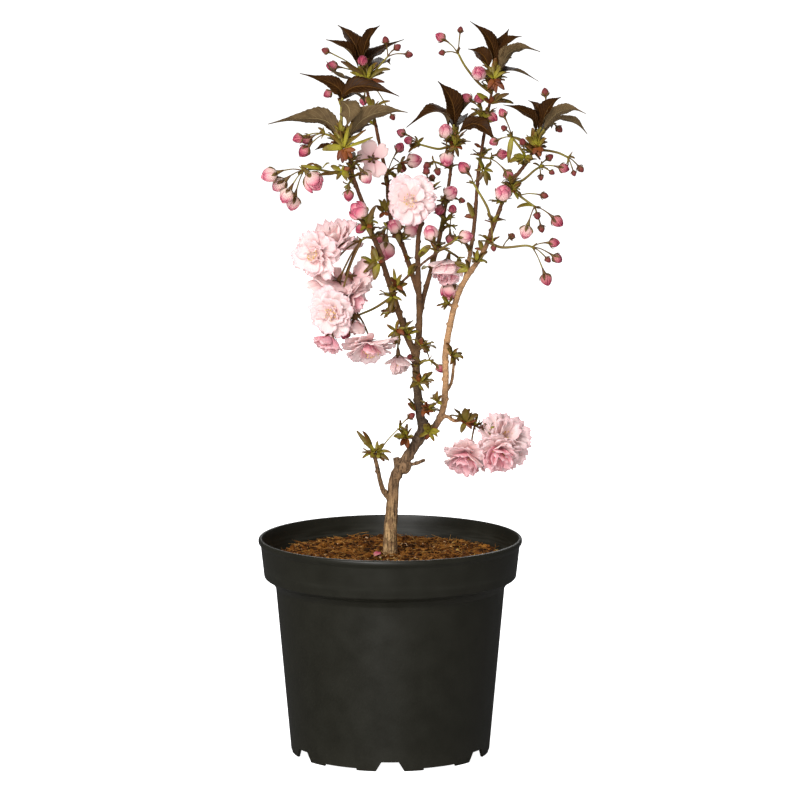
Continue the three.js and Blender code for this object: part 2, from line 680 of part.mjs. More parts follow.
// ---- Sprays: a stem with its buds, bracts and the stalks of its blooms ----

// A bud in one with its stalk, which swells into it.
function stalkedBud(from, [x, y, z, size], extra) {
  const centre = new THREE.Vector3(x, y, z);
  const facing = centre.clone().sub(from).normalize().addScaledVector(up, -0.2).normalize();
  const large = size >= largeBudFrom;
  const shape = large ? largeBudShape : smallBudShape;
  const budLength = shape[shape.length - 1][0] * size;
  const foot = centre.clone().addScaledVector(facing, -0.5 * size);
  const tip = foot.clone().addScaledVector(facing, budLength);
  const line = smoothLine([from, foot, centre, tip]);
  const stalkLength = line.getLength() - budLength;
  const stations = [[0, stalkRadius]];
  for (const [along, radius] of shape) {
    stations.push([Math.min((stalkLength + along * size) / line.getLength(), 1), radius * size]);
  }
  return stem(line, stations, large ? 5 : 4, extra);
}

// The stalk of a bloom, which flares into the bloom's calyx.
function bloomStalk(from, { calyx, facing }, extra) {
  const end = vector(calyx);
  const neck = end.clone().addScaledVector(vector(facing).normalize(), -blossom.calyxLength);
  const bow = from.clone().lerp(neck, 0.5).addScaledVector(up, archShare * from.distanceTo(neck));
  const line = smoothLine([from, bow, neck, end]);
  const neckShare = 1 - blossom.calyxLength / line.getLength();
  const stations = [
    [0, stalkRadius],
    [0.5 * neckShare, stalkRadius],
    [neckShare, 1.3 * stalkRadius],
    [1, blossom.calyxRadius],
  ];
  return stem(line, stations, 4, extra);
}

function makeSpray(spray, extra) {
  const { stem: points, buds = [], sideBuds = [], bracts = [], blooms: flowers = [] } = spray;
  const end = vector(points[points.length - 1]);
  const solids = [shoot(points, stemRadii, 4, extra)];
  for (const bud of buds) solids.push(stalkedBud(end, bud, extra));
  for (const { fork, bud } of sideBuds) solids.push(stalkedBud(vector(points[fork]), bud, extra));
  for (const tip of bracts) solids.push(bractBlade(end, vector(tip), extra));
  for (const name of flowers) solids.push(bloomStalk(end, blooms[name], extra));
  return join(solids);
}

// ---- Blooms: whorls of petals, one inside the other ----

// Each whorl: the reach of its petals as a share of half the bloom's width, how steeply they
// rise, how much flatter at the foot, how far in the clefts come, and the rings up each petal.
// The second whorl springs from the first at the inner root's radius.
const bloomForms = {
  full: {
    petals: 5,
    outline: [0, 1, 0.87, 1], // the cleft, a shoulder, the notch in the tip, a shoulder
    lift: [0, 0.05, -0.02, 0.01],
    innerRoot: 2.6,
    whorls: [
      { reach: 1, rise: 0.12, bowl: 0, cleft: 0.6, rings: [1] },
      { reach: 0.88, rise: 0.62, bowl: 0, cleft: 0.58, rings: [1] },
      { reach: 0.66, rise: 1.12, bowl: 0, cleft: 0.6, rings: [1] },
    ],
  },
  bell: {
    petals: 5,
    outline: [0, 1, 0.95],
    lift: [0, 0.04, -0.02],
    innerRoot: 1.2,
    whorls: [
      { reach: 1.2, rise: 0.8, bowl: 0.4, cleft: 0.66, rings: [0.5, 1] },
      { reach: 1, rise: 1.2, bowl: 0, cleft: 0.6, rings: [1] },
    ],
  },
};
const petalVariation = { length: 0.14, shortest: 0.93, rise: 0.18 };

// The rings of a bloom from its foot to its heart: under and over each whorl in turn.
function bloomRings({ whorls, innerRoot }) {
  const thickness = blossom.petalThickness;
  const [outer] = whorls;
  const steepestFoot = outer.rise - outer.bowl * (1 - outer.rings[0]) + petalVariation.rise;
  const rings = [{ radius: 0, height: 0 }];
  let root = { radius: 0, height: 0 };
  whorls.forEach((whorl, depth) => {
    const under = whorl.rings.map((share) => ({ whorl, depth, root, share, raised: 0 }));
    const over = whorl.rings.map((share) => ({ whorl, depth, root, share, raised: thickness }));
    rings.push(...under, ...over.reverse());
    root =
      depth === 0
        ? { radius: innerRoot, height: thickness + innerRoot * Math.tan(steepestFoot) }
        : {
            radius: root.radius - thickness * Math.sin(whorl.rise),
            height: root.height + thickness * Math.cos(whorl.rise),
          };
    if (depth < whorls.length - 1) rings.push(root);
  });
  rings.push({ radius: 0, height: root.height });
  return rings;
}

function makeBloom(bloom, seed) {
  const random = seeded(seed);
  const form = bloomForms[bloom.form];
  const rings = bloomRings(form);
  const steps = form.petals * form.outline.length;
  const foot = vector(bloom.calyx);
  const ahead = vector(bloom.facing).normalize();
  const right = ahead.clone().cross(Math.abs(ahead.z) < 0.8 ? up : front).normalize();
  const over = ahead.clone().cross(right);
  const start = random();
  const draw = (amount) => Array.from({ length: form.petals }, () => amount * random());
  const longer = form.whorls.map(() => draw(petalVariation.length));
  const steeper = form.whorls.map(() => draw(petalVariation.rise));
  const profile = rings.map(({ radius }, i) => new THREE.Vector2(radius === 0 ? 0 : 1, i));

  return bent(new THREE.LatheGeometry(profile, steps), (p) => {
    const ring = rings[Math.round(p.y)];
    const turn = (Math.atan2(p.x, p.z) / (2 * Math.PI) + 1) % 1;
    const step = Math.round(turn * steps) % steps;
    const angle = start + (step / steps) * 2 * Math.PI;
    let { radius, height } = ring;
    if (ring.whorl) {
      const { whorl, depth, root, share, raised } = ring;
      const shifted = (step + 2 * depth) % steps;
      const petal = Math.floor(shifted / form.outline.length);
      const part = shifted % form.outline.length;
      const inCleft = part === 0;
      const size = petalVariation.shortest + longer[depth][petal];
      const shape = inCleft ? whorl.cleft : form.outline[part] * size;
      const distance = (share * shape * whorl.reach * bloom.width) / 2;
      const rise = whorl.rise - whorl.bowl * (1 - share) + (inCleft ? 0 : steeper[depth][petal]);
      radius = root.radius + distance * Math.cos(rise) - raised * Math.sin(rise);
      height = root.height + distance * Math.sin(rise) + raised * Math.cos(rise);
      height += share * form.lift[part] * bloom.width;
    }
    return foot
      .clone()
      .addScaledVector(ahead, seatGap + height)
      .addScaledVector(right, radius * Math.cos(angle))
      .addScaledVector(over, radius * Math.sin(angle));
  });
}

const bloomMiddle = 0.3; // from the calyx, as a share of the bloom's width
const crowding = 0.62; // blooms nearer than this share of their widths together may touch

// Crowded blooms press against each other: each keeps to its own side of the plane between them.
function keepApart(name, solid) {
  const middleOf = ({ calyx, facing, width }) =>
    vector(calyx).addScaledVector(vector(facing).normalize(), bloomMiddle * width);
  const own = blooms[name];
  let kept = solid;
  for (const [otherName, other] of Object.entries(blooms)) {
    const between = middleOf(own).sub(middleOf(other));
    const distance = between.length();
    if (otherName === name || distance > crowding * (own.width + other.width)) continue;
    const otherShare = (distance * other.width) / (own.width + other.width);
    const normal = between.normalize();
    kept = kept.trimByPlane(normal.toArray(), middleOf(other).dot(normal) + otherShare + seatGap / 2);
  }
  return kept;
}

// ---- Tufts of leaves ----

// A narrow leaf on its stalk: toothed edges and a long drawn-out tip, row by row.
const leafOutline = [0.14, 0.5, 1, 0.72, 0.7, 0.08];

function makeTuft({ hub, shoot: points, leaves }, extra) {
  const foot = vector(hub);
  const crown = points ? vector(points[points.length - 1]) : foot;
  const solids = [];
  if (points) {
    solids.push(shoot([hub, ...points], youngShootRadii, 4, extra));
  } else {
    solids.push(egg(foot, up, leafHub.radius + extra, leafHub.length + 2 * extra, 5, 3));
  }
  for (const { root, middle, tip, width } of leaves) {
    const end = vector(tip);
    const along = end.clone().sub(vector(root));
    // Each leaf springs from its own side of the crown.
    const outward = end.clone().sub(crown).setZ(0).normalize();
    solids.push(
      blade({
        root: crown.clone().addScaledVector(outward, points ? stalkRadius : 0.7 * leafHub.radius),
        middle: vector(root).lerp(vector(middle), 0.6),
        tip: end,
        across: along.clone().cross(front).addScaledVector(along.clone().cross(up), leaf.tilt),
        width: (width + 2 * extra) / Math.cos(leaf.fold),
        thickness: leaf.thickness + 2 * extra,
        columns: 2,
        rows: leaf.rows,
        outline: leafOutline,
        fold: leaf.fold,
      }),
    );
  }
  return join(solids);
}

// ---- Assembly ----

const finishes = {
  pot: { color: 0x26261f, roughness: 0.55, metalness: 0 },
  soil: { color: 0x5a3f28, roughness: 1, metalness: 0 },
  wood: { color: 0x6b4f3b, roughness: 0.85, metalness: 0 },
  spray: { color: 0x7c5a35, roughness: 0.7, metalness: 0 },
  petal: { color: 0xf2ccd2, roughness: 0.65, metalness: 0 },
  leaf: { color: 0x4a3a1c, roughness: 0.55, metalness: 0 },
};

function meshOf(name, solid, finish, detail = plantDetail) {
  const built = mainBody(solid, detail).getMesh();
  const geometry = new THREE.BufferGeometry();
  geometry.setAttribute("position", new THREE.BufferAttribute(built.vertProperties, 3));
  geometry.setIndex(new THREE.BufferAttribute(built.triVerts, 1));
  geometry.computeVertexNormals();
  const mesh = new THREE.Mesh(geometry, new THREE.MeshStandardMaterial(finishes[finish]));
  mesh.name = name;
  return mesh;
}

const group = new THREE.Group();
const clearTree = makeTree(seatGap);

group.add(meshOf("pot", makePot(), "pot", potDetail));
group.add(meshOf("soil", makeSoil(clearTree), "soil"));
group.add(meshOf("tree", makeTree(0), "wood"));

// Sprays keep clear of the wood they grow from and of the sprays before them.
let clearSprays = clearTree;
for (const [name, spray] of Object.entries(sprays)) {
  group.add(meshOf("spray_" + name, makeSpray(spray, 0).subtract(clearSprays), "spray"));
  clearSprays = clearSprays.add(makeSpray(spray, seatGap));
}

Object.entries(blooms).forEach(([name, bloom], index) => {
  const own = keepApart(name, makeBloom(bloom, 11 + 7 * index));
  group.add(meshOf("bloom_" + name, own.subtract(clearSprays), "petal"));
});

let clearTufts = clearSprays;
for (const [name, tuft] of Object.entries(leafTufts)) {
  group.add(meshOf("leaves_" + name, makeTuft(tuft, 0).subtract(clearTufts), "leaf"));
  clearTufts = clearTufts.add(makeTuft(tuft, seatGap));
}

export default group;
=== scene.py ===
import bisect
import math
import random

import bpy
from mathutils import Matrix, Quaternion, Vector
from mathutils.bvhtree import BVHTree


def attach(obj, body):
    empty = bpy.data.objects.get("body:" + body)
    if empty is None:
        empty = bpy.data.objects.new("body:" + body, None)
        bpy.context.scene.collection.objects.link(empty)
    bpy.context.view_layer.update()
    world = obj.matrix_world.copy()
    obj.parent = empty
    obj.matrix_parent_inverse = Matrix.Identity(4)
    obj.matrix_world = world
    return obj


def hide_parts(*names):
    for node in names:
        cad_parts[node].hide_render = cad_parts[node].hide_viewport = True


# A young cherry in flower in its round nursery pot. Layout points are in millimetres.
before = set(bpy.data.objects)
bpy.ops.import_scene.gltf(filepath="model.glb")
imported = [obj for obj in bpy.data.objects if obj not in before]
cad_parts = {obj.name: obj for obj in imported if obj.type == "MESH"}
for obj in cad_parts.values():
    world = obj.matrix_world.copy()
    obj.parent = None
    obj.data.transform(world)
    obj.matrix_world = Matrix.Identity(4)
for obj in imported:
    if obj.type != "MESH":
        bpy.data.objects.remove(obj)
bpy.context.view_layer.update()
dice = random.Random(11)
upward = Vector((0, 0, 1))
forward = Vector((0, -1, 0))
# The turn from one scale, node or stamen to the next, in radians
spiral = 2.4


def deselectAll():
    if bpy.context.object and bpy.context.object.mode != "OBJECT":
        bpy.ops.object.mode_set(mode="OBJECT")
    bpy.ops.object.select_all(action="DESELECT")


def choose(*pieces):
    deselectAll()
    for piece in pieces:
        piece.select_set(True)
    bpy.context.view_layer.objects.active = pieces[0]


def applyModifier(piece, kind, **settings):
    choose(piece)
    modifier = piece.modifiers.new(kind.title(), kind)
    for name, value in settings.items():
        setattr(modifier, name, value)
    bpy.ops.object.modifier_apply(modifier=modifier.name)


def roughen(piece, name, grainSize, height, depth=2, **settings):
    lumps = bpy.data.textures.new(name, "CLOUDS")
    lumps.noise_scale = grainSize
    lumps.noise_depth = depth
    applyModifier(piece, "DISPLACE", texture=lumps, strength=height, mid_level=0.5,
                  texture_coords="LOCAL", **settings)


def joinPieces(name, parts):
    choose(*parts)
    if len(parts) > 1:
        bpy.ops.object.join()
    piece = bpy.context.object
    piece.name = piece.data.name = name
    return piece


def finish(name, parts, slot, *nodes):
    piece = joinPieces(name, parts)
    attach(piece, "root")
    if nodes:
        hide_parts(*nodes)


def dropTemplate(*templates):
    for template in templates:
        bpy.data.meshes.remove(template.data)


def between(low, high, share):
    return low + (high - low) * share


def steps(values, share):
    place = min(max(share, 0), 1) * (len(values) - 1)
    low = min(int(place), len(values) - 2)
    return between(values[low], values[low + 1], place - low)


def addNode(tree, kind, inputs=None, **settings):
    made = tree.nodes.new(kind)
    for name, value in settings.items():
        setattr(made, name, value)
    for name, value in (inputs or {}).items():
        if isinstance(value, bpy.types.NodeSocket):
            tree.links.new(value, made.inputs[name])
        else:
            made.inputs[name].default_value = value
    return made


# Camera and lights
cameraSettings = dict(place=(0.0085, -3.340, 0.795), tilt=90 - 8.27, lens=175, sensor=36,
                      reach=100)
bpy.ops.object.camera_add(location=cameraSettings["place"],
                          rotation=(math.radians(cameraSettings["tilt"]), 0, 0))
camera = bpy.context.object
camera.data.lens = cameraSettings["lens"]
camera.data.sensor_width = cameraSettings["sensor"]
camera.data.clip_end = cameraSettings["reach"]
bpy.context.scene.camera = camera

studioLights = {
    "keyLight": dict(place=(-1.1, -2.6, 2.0), size=1.4, power=98),
    "fillLight": dict(place=(-0.5, -3.1, 0.5), size=1.2, power=32),
    "backLight": dict(place=(0.3, 2.2, 2.4), size=1.8, power=50),
}
lightAim = Vector((0, 0, 0.3))
for name, light in studioLights.items():
    bpy.ops.object.light_add(type="AREA", location=light["place"])
    lamp = bpy.context.object
    lamp.name = name
    lamp.data.size = light["size"]
    lamp.data.energy = light["power"]
    lamp.rotation_euler = (lightAim - lamp.location).to_track_quat("-Z", "Y").to_euler()


# What the camera sees, what lights the piece and what glossy faces mirror differ in level.
def levelByRay(tree, levels):
    path = addNode(tree, "ShaderNodeLightPath").outputs
    level = levels["light"]
    for ray, name in (("Is Glossy Ray", "mirrored"), ("Is Camera Ray", "seen")):
        level = addNode(tree, "ShaderNodeMix",
                        {0: path[ray], 2: level, 3: levels[name]}).outputs[0]
    return level


skyLevels = dict(light=0.26, seen=1.0, mirrored=0.1)
world = bpy.context.scene.world or bpy.data.worlds.new("studio")
bpy.context.scene.world = world
world.use_nodes = True
sky = world.node_tree.nodes["Background"]
sky.inputs["Color"].default_value = (1, 1, 1, 1)
world.node_tree.links.new(levelByRay(world.node_tree, skyLevels), sky.inputs["Strength"])
bpy.context.scene.view_settings.view_transform = "Standard"
print("stage set")


# Materials: colours are red, green and blue from 0 to 255
def paint(red, green, blue):
    def linear(value):
        share = value / 255
        return share / 12.92 if share <= 0.04045 else ((share + 0.055) / 1.055) ** 2.4
    return (linear(red), linear(green), linear(blue), 1)


def newMaterial(name, roughness, shine):
    material = bpy.data.materials.new(name)
    material.use_nodes = True
    shader = material.node_tree.nodes["Principled BSDF"]
    shader.inputs["Roughness"].default_value = roughness
    shader.inputs["Specular IOR Level"].default_value = shine
    return material, shader, addNode(material.node_tree, "ShaderNodeTexCoord").outputs


def coat(shader, tone, height, distance, strength=1.0):
    tree = shader.id_data
    relief = addNode(tree, "ShaderNodeBump",
                     {"Height": height, "Distance": distance, "Strength": strength})
    tree.links.new(tone, shader.inputs["Base Color"])
    tree.links.new(relief.outputs["Normal"], shader.inputs["Normal"])


def colourRamp(fac, stops):
    ramp = addNode(fac.id_data, "ShaderNodeValToRGB", {"Fac": fac})
    while len(ramp.color_ramp.elements) < len(stops):
        ramp.color_ramp.elements.new(0.5)
    for element, (place, *colour) in zip(ramp.color_ramp.elements, stops):
        element.position = place
        element.color = paint(*colour)
    return ramp.outputs["Color"]


def mixColour(fac, *colours):
    first, second = (paint(*c) if isinstance(c, tuple) else c for c in colours)
    return addNode(fac.id_data, "ShaderNodeMix", {0: fac, 6: first, 7: second},
                   data_type="RGBA").outputs[2]


def mathNode(operation, first, second=0.0):
    tree = (second if isinstance(first, float) else first).id_data
    return addNode(tree, "ShaderNodeMath", {0: first, 1: second}, operation=operation).outputs[0]


def times(first, second):
    return mathNode("MULTIPLY", first, second)


def plus(first, second):
    return mathNode("ADD", first, second)


def minus(first, second):
    return mathNode("SUBTRACT", first, second)


def tint(tone, mask, amount, colour):
    return mixColour(times(mask, amount), tone, colour)


def ranged(value, low, high, toLow=0.0, toHigh=1.0):
    return addNode(value.id_data, "ShaderNodeMapRange", {
        "Value": value, "From Min": low, "From Max": high, "To Min": toLow, "To Max": toHigh},
        interpolation_type="SMOOTHSTEP").outputs["Result"]


def splitAxes(vector):
    return addNode(vector.id_data, "ShaderNodeSeparateXYZ", {"Vector": vector}).outputs


def stretched(vector, scale):
    return addNode(vector.id_data, "ShaderNodeMapping",
                   {"Vector": vector, "Scale": scale}).outputs["Vector"]


def chanceOf(shader):
    return addNode(shader.id_data, "ShaderNodeAttribute", attribute_name="chance").outputs["Fac"]


def distanceFromRib(across):
    return mathNode("ABSOLUTE", minus(across, 0.5))


# The shared grain: broad patches and a fine grain seven times smaller
def grainGroup():
    group = bpy.data.node_groups.new("grain", "ShaderNodeTree")
    for name, way, kind in (("Vector", "INPUT", "Vector"), ("Scale", "INPUT", "Float"),
                            ("Contrast", "INPUT", "Float"), ("Broad", "OUTPUT", "Float"),
                            ("Fine", "OUTPUT", "Float")):
        group.interface.new_socket(name, in_out=way, socket_type="NodeSocket" + kind)
    start = addNode(group, "NodeGroupInput").outputs
    end = addNode(group, "NodeGroupOutput").inputs
    broad = addNode(group, "ShaderNodeTexNoise", {
        "Vector": start["Vector"], "Scale": start["Scale"], "Detail": 4.0})
    spread = addNode(group, "ShaderNodeMapRange", {
        "Value": broad.outputs["Fac"], "From Min": minus(0.5, start["Contrast"]),
        "From Max": plus(0.5, start["Contrast"])})
    fine = addNode(group, "ShaderNodeTexNoise", {
        "Vector": start["Vector"], "Scale": times(start["Scale"], 7.0), "Detail": 5.0})
    group.links.new(spread.outputs["Result"], end["Broad"])
    group.links.new(fine.outputs["Fac"], end["Fine"])
    return group


grain = grainGroup()


def addGrain(vector, scale, contrast):
    made = addNode(vector.id_data, "ShaderNodeGroup", node_tree=grain)
    made.inputs["Scale"].default_value = scale
    made.inputs["Contrast"].default_value = contrast
    vector.id_data.links.new(vector, made.inputs["Vector"])
    return made.outputs["Broad"], made.outputs["Fine"]


# The pale streaks on the pot's upper inner wall are partly scuffs and partly a painted sheen.
potLook = dict(shine=0.36, roughness=(0.36, 0.46), tones=((27, 26, 19), (33, 32, 24)),
               scuffsAndSheen=0.2, scuffAndSheenTone=(96, 96, 88), dust=0.06, dustTone=(110, 104, 92),
               insideRadius=(0.1115, 0.1095), insideHeight=(0.160, 0.164), dustHeight=0.03)


def potFinish():
    look = potLook
    material, shader, spot = newMaterial("blackPlastic", 0.5, look["shine"])
    place = spot["Object"]
    tree = shader.id_data
    broad, fine = addGrain(place, 55, 0.28)
    height = splitAxes(place)["Z"]
    flat = addNode(tree, "ShaderNodeVectorMath", {0: place, 1: (1, 1, 0)}, operation="MULTIPLY")
    reach = addNode(tree, "ShaderNodeVectorMath", {0: flat.outputs[0]}, operation="LENGTH")
    inside = times(ranged(reach.outputs["Value"], *look["insideRadius"]),
                   ranged(height, *look["insideHeight"]))
    # Pale streaks on the inner wall near the top: partly scuffs, partly a painted sheen of light.
    scuffsAndSheen = addGrain(stretched(place, (6, 6, 90)), 6, 0.12)[0]
    dusty = times(ranged(height, look["dustHeight"], 0.0), fine)
    tone = mixColour(broad, *look["tones"])
    tone = tint(tone, times(scuffsAndSheen, inside), look["scuffsAndSheen"], look["scuffAndSheenTone"])
    tone = tint(tone, dusty, look["dust"], look["dustTone"])
    tree.links.new(ranged(broad, 0.0, 1.0, *look["roughness"]), shader.inputs["Roughness"])
    coat(shader, tone, fine, 0.00012, 0.5)
    return material


def soilFinish(name, stops):
    material, shader, spot = newMaterial(name, 0.95, 0.08)
    broad, fine = addGrain(spot["Object"], 190, 0.2)
    mixed = plus(times(broad, 0.4), times(chanceOf(shader), 0.75))
    coat(shader, colourRamp(mixed, stops), fine, 0.0006)
    return material


barkLook = dict(
    byHeight=[(0.0, 170, 132, 90), (0.08, 162, 126, 90), (0.16, 112, 92, 72),
              (0.22, 76, 60, 44), (0.28, 92, 74, 52), (0.36, 136, 104, 70),
              (0.5, 118, 84, 52), (0.72, 108, 70, 42), (1.0, 112, 66, 40)],
    foot=0.17, top=0.60, rightBough=(206, 158, 112), lowTwig=(156, 120, 84),
    patches=(0.62, (56, 38, 26)), pores=(0.45, (190, 150, 112)),
    flakes=(0.8, (206, 168, 118)), cracks=(0.75, (56, 38, 24)),
)


def barkFinish():
    look = barkLook
    material, shader, spot = newMaterial("bark", 0.72, 0.3)
    place = spot["Object"]
    axes = splitAxes(place)
    sideways, height = axes["X"], axes["Z"]
    tone = colourRamp(ranged(height, look["foot"], look["top"]), look["byHeight"])
    # The right bough is paler where it stands free, and so is the low twig on the left.
    rightSide = times(ranged(sideways, 0.036, 0.046), ranged(height, 0.47, 0.40))
    tone = mixColour(rightSide, tone, look["rightBough"])
    leftSide = times(ranged(sideways, -0.003, -0.006), ranged(height, 0.29, 0.27))
    tone = mixColour(leftSide, tone, look["lowTwig"])
    broad, fine = addGrain(place, 120, 0.22)
    tone = tint(tone, broad, *look["patches"])
    # Pores lie across the bark as short pale dashes.
    pores = addNode(shader.id_data, "ShaderNodeTexVoronoi",
                    {"Vector": stretched(place, (260, 260, 900)), "Scale": 1.0})
    pore = ranged(pores.outputs["Distance"], 0.26, 0.12)
    tone = tint(tone, pore, *look["pores"])
    # Flakes lift off near the foot, and fine dark cracks run along the trunk.
    flakes = addGrain(stretched(place, (200, 200, 110)), 1.3, 0.05)[0]
    flake = times(flakes, ranged(height, 0.235, 0.19))
    tone = tint(tone, flake, *look["flakes"])
    cracks = addGrain(stretched(place, (1, 1, 0.09)), 110, 0.1)[1]
    crack = times(ranged(cracks, 0.53, 0.62), ranged(height, 0.33, 0.27))
    tone = tint(tone, crack, *look["cracks"])
    relief = minus(plus(fine, times(flake, 0.8)), times(crack, 0.5))
    coat(shader, tone, plus(relief, times(pore, 0.35)), 0.0014)
    return material


def leafFinish(name, dark, light, veinTone, roughness):
    material, shader, spot = newMaterial(name, roughness, 0.1)
    axes = splitAxes(spot["UV"])
    fromRib = distanceFromRib(axes["X"])
    broad, fine = addGrain(spot["Object"], 150, 0.25)
    tone = tint(mixColour(broad, dark, light), chanceOf(shader), 0.45, light)
    # Side veins run forward from the midrib.
    slant = minus(times(axes["Y"], 11.0), times(fromRib, 5.0))
    wave = mathNode("ABSOLUTE", minus(mathNode("FRACT", slant), 0.5))
    veins = times(ranged(wave, 0.10, 0.02), 0.55)
    lines = mathNode("MAXIMUM", veins, ranged(fromRib, 0.035, 0.012))
    tone = tint(tone, lines, 0.75, veinTone)
    coat(shader, tone, minus(times(fine, 0.35), lines), 0.0004)
    return material


def petalFinish(name, stops, edge, veinTone, softness=0.3, crease=0.3):
    material, shader, spot = newMaterial(name, 0.6, 0.25)
    shader.inputs["Subsurface Weight"].default_value = softness
    shader.inputs["Subsurface Radius"].default_value = (0.004, 0.003, 0.003)
    shader.inputs["Subsurface Scale"].default_value = 0.6
    axes = splitAxes(spot["UV"])
    broad, fine = addGrain(spot["Object"], 90, 0.3)
    tone = colourRamp(plus(axes["Y"], times(minus(broad, 0.5), 0.12)), stops)
    tone = tint(tone, chanceOf(shader), 0.3, veinTone)
    rays = addNode(shader.id_data, "ShaderNodeTexWave", {
        "Vector": spot["UV"], "Scale": 5.0, "Distortion": 1.4, "Detail": 2.0},
        bands_direction="X").outputs["Fac"]
    tone = tint(tone, rays, 0.14, veinTone)
    rim = mathNode("MAXIMUM", ranged(axes["Y"], 0.955, 1.0),
                   ranged(distanceFromRib(axes["X"]), 0.43, 0.5))
    coat(shader, tint(tone, rim, crease, edge), plus(rays, times(fine, 0.5)), 0.0002, 0.6)
    return material


def freshFinish(name, stops, roughness=0.5, scale=120):
    material, shader, spot = newMaterial(name, roughness, 0.3)
    broad, fine = addGrain(spot["Object"], scale, 0.25)
    mixed = plus(times(splitAxes(spot["UV"])["Y"], 0.45), times(broad, 0.25))
    mixed = plus(mixed, times(chanceOf(shader), 0.4))
    coat(shader, colourRamp(mixed, stops), fine, 0.0003, 0.6)
    return material


soilTones = {
    "peat": [(0.0, 20, 10, 3), (0.4, 54, 29, 7), (0.7, 104, 60, 18), (1.0, 146, 98, 40)],
    "barkChips": [(0.0, 44, 22, 8), (0.6, 92, 50, 18), (1.0, 160, 106, 48)],
    "fibres": [(0.0, 98, 58, 20), (0.6, 150, 98, 42), (1.0, 196, 150, 84)],
    "paleGrains": [(0.0, 112, 110, 40), (0.5, 176, 140, 74), (1.0, 214, 176, 146)],
}
# Dark tone, light tone, veins and roughness
leafTones = {
    "leafTop": ((30, 15, 4), (62, 35, 9), (108, 72, 30), 0.5),
    "leafUnder": ((70, 54, 34), (106, 86, 58), (146, 126, 88), 0.55),
}
# Tones from foot to tip, edge, veins, and at times softness and how far the edge shows
petalTones = {
    "petalFace": ([(0.0, 236, 178, 184), (0.3, 244, 214, 210), (0.7, 245, 222, 218),
                   (1.0, 238, 198, 200)], (212, 140, 158), (236, 178, 182)),
    "petalBack": ([(0.0, 226, 166, 170), (0.4, 243, 203, 200), (1.0, 249, 220, 213)],
                  (206, 138, 152), (226, 166, 172), 0.3, 0.2),
    "pinkPetal": ([(0.0, 208, 108, 132), (0.45, 234, 164, 174), (1.0, 242, 194, 194)],
                  (200, 108, 132), (218, 138, 152)),
    "budPetal": ([(0.0, 234, 212, 192), (0.45, 236, 200, 188), (0.75, 226, 160, 164),
                  (0.92, 200, 82, 112), (1.0, 150, 22, 66)],
                 (184, 62, 98), (228, 150, 158), 0.15, 0.6),
    "midBud": ([(0.0, 184, 128, 110), (0.45, 196, 116, 120), (0.78, 178, 66, 92),
                (1.0, 112, 12, 48)], (122, 22, 54), (168, 80, 92), 0.1, 0.7),
    "smallBud": ([(0.0, 106, 70, 42), (0.5, 128, 60, 54), (1.0, 98, 20, 38)],
                 (84, 20, 34), (104, 42, 42), 0.0, 0.6),
}
# Tones from foot to tip, and at times roughness and grain
freshTones = {
    "stalk": ([(0.0, 84, 54, 28), (0.35, 98, 70, 30), (0.65, 112, 94, 36),
               (1.0, 140, 130, 50)],),
    "calyx": ([(0.0, 78, 42, 26), (0.5, 94, 66, 32), (1.0, 116, 100, 44)],),
    "scale": ([(0.0, 160, 152, 44), (0.35, 142, 132, 40), (0.6, 112, 94, 32),
               (0.85, 110, 70, 28), (1.0, 80, 46, 20)], 0.45, 260),
    "leaflet": ([(0.0, 136, 126, 44), (0.35, 110, 94, 34), (0.7, 88, 62, 26),
                 (1.0, 66, 40, 18)], 0.45, 260),
    "husk": ([(0.0, 136, 84, 32), (0.4, 126, 66, 28), (0.75, 100, 48, 24),
              (1.0, 70, 34, 18)], 0.5, 260),
    "filament": ([(0.0, 240, 226, 200), (1.0, 246, 220, 190)],),
    "anther": ([(0.0, 230, 214, 150), (0.5, 226, 186, 84), (1.0, 200, 150, 50)],),
}
finishes = {"pot": potFinish(), "bark": barkFinish()}
for name, stops in soilTones.items():
    finishes[name] = soilFinish(name, stops)
for make, tones in ((leafFinish, leafTones), (petalFinish, petalTones), (freshFinish, freshTones)):
    for name, values in tones.items():
        finishes[name] = make(name, *values)
print("materials ready")


# Helpers for bending copies of simple pieces into place
def toMetres(point):
    return Vector(point) * 0.001


def allMetres(points):
    return [toMetres(point) for point in points]


def anyWay():
    return Vector((dice.uniform(-1, 1), dice.uniform(-1, 1), dice.uniform(-1, 1))).normalized()


def squareTo(heading):
    side = heading.orthogonal().normalized()
    return side, heading.cross(side)


def swing(first, second, angle):
    return first * math.cos(angle) + second * math.sin(angle)


def setChance(piece, chance):
    attributes = piece.data.attributes
    layer = attributes.get("chance") or attributes.new("chance", "FLOAT", "POINT")
    layer.data.foreach_set("value", [chance] * len(piece.data.vertices))


def copyOf(template, bend, chance=None):
    copy = template.copy()
    copy.data = template.data.copy()
    bpy.context.collection.objects.link(copy)
    for vertex in copy.data.vertices:
        vertex.co = bend(vertex.co)
    setChance(copy, dice.random() if chance is None else chance)
    return copy


def smoothPath(points, spans=8):
    ends = [points[0] * 2 - points[1]] + points + [points[-1] * 2 - points[-2]]
    path = []
    for a, b, c, d in zip(ends, ends[1:], ends[2:], ends[3:]):
        for step in range(spans):
            t = step / spans
            path.append(0.5 * (2 * b + (c - a) * t + (2 * a - 5 * b + 4 * c - d) * t * t
                               + (3 * b - a - 3 * c + d) * t ** 3))
    path.append(points[-1].copy())
    return path


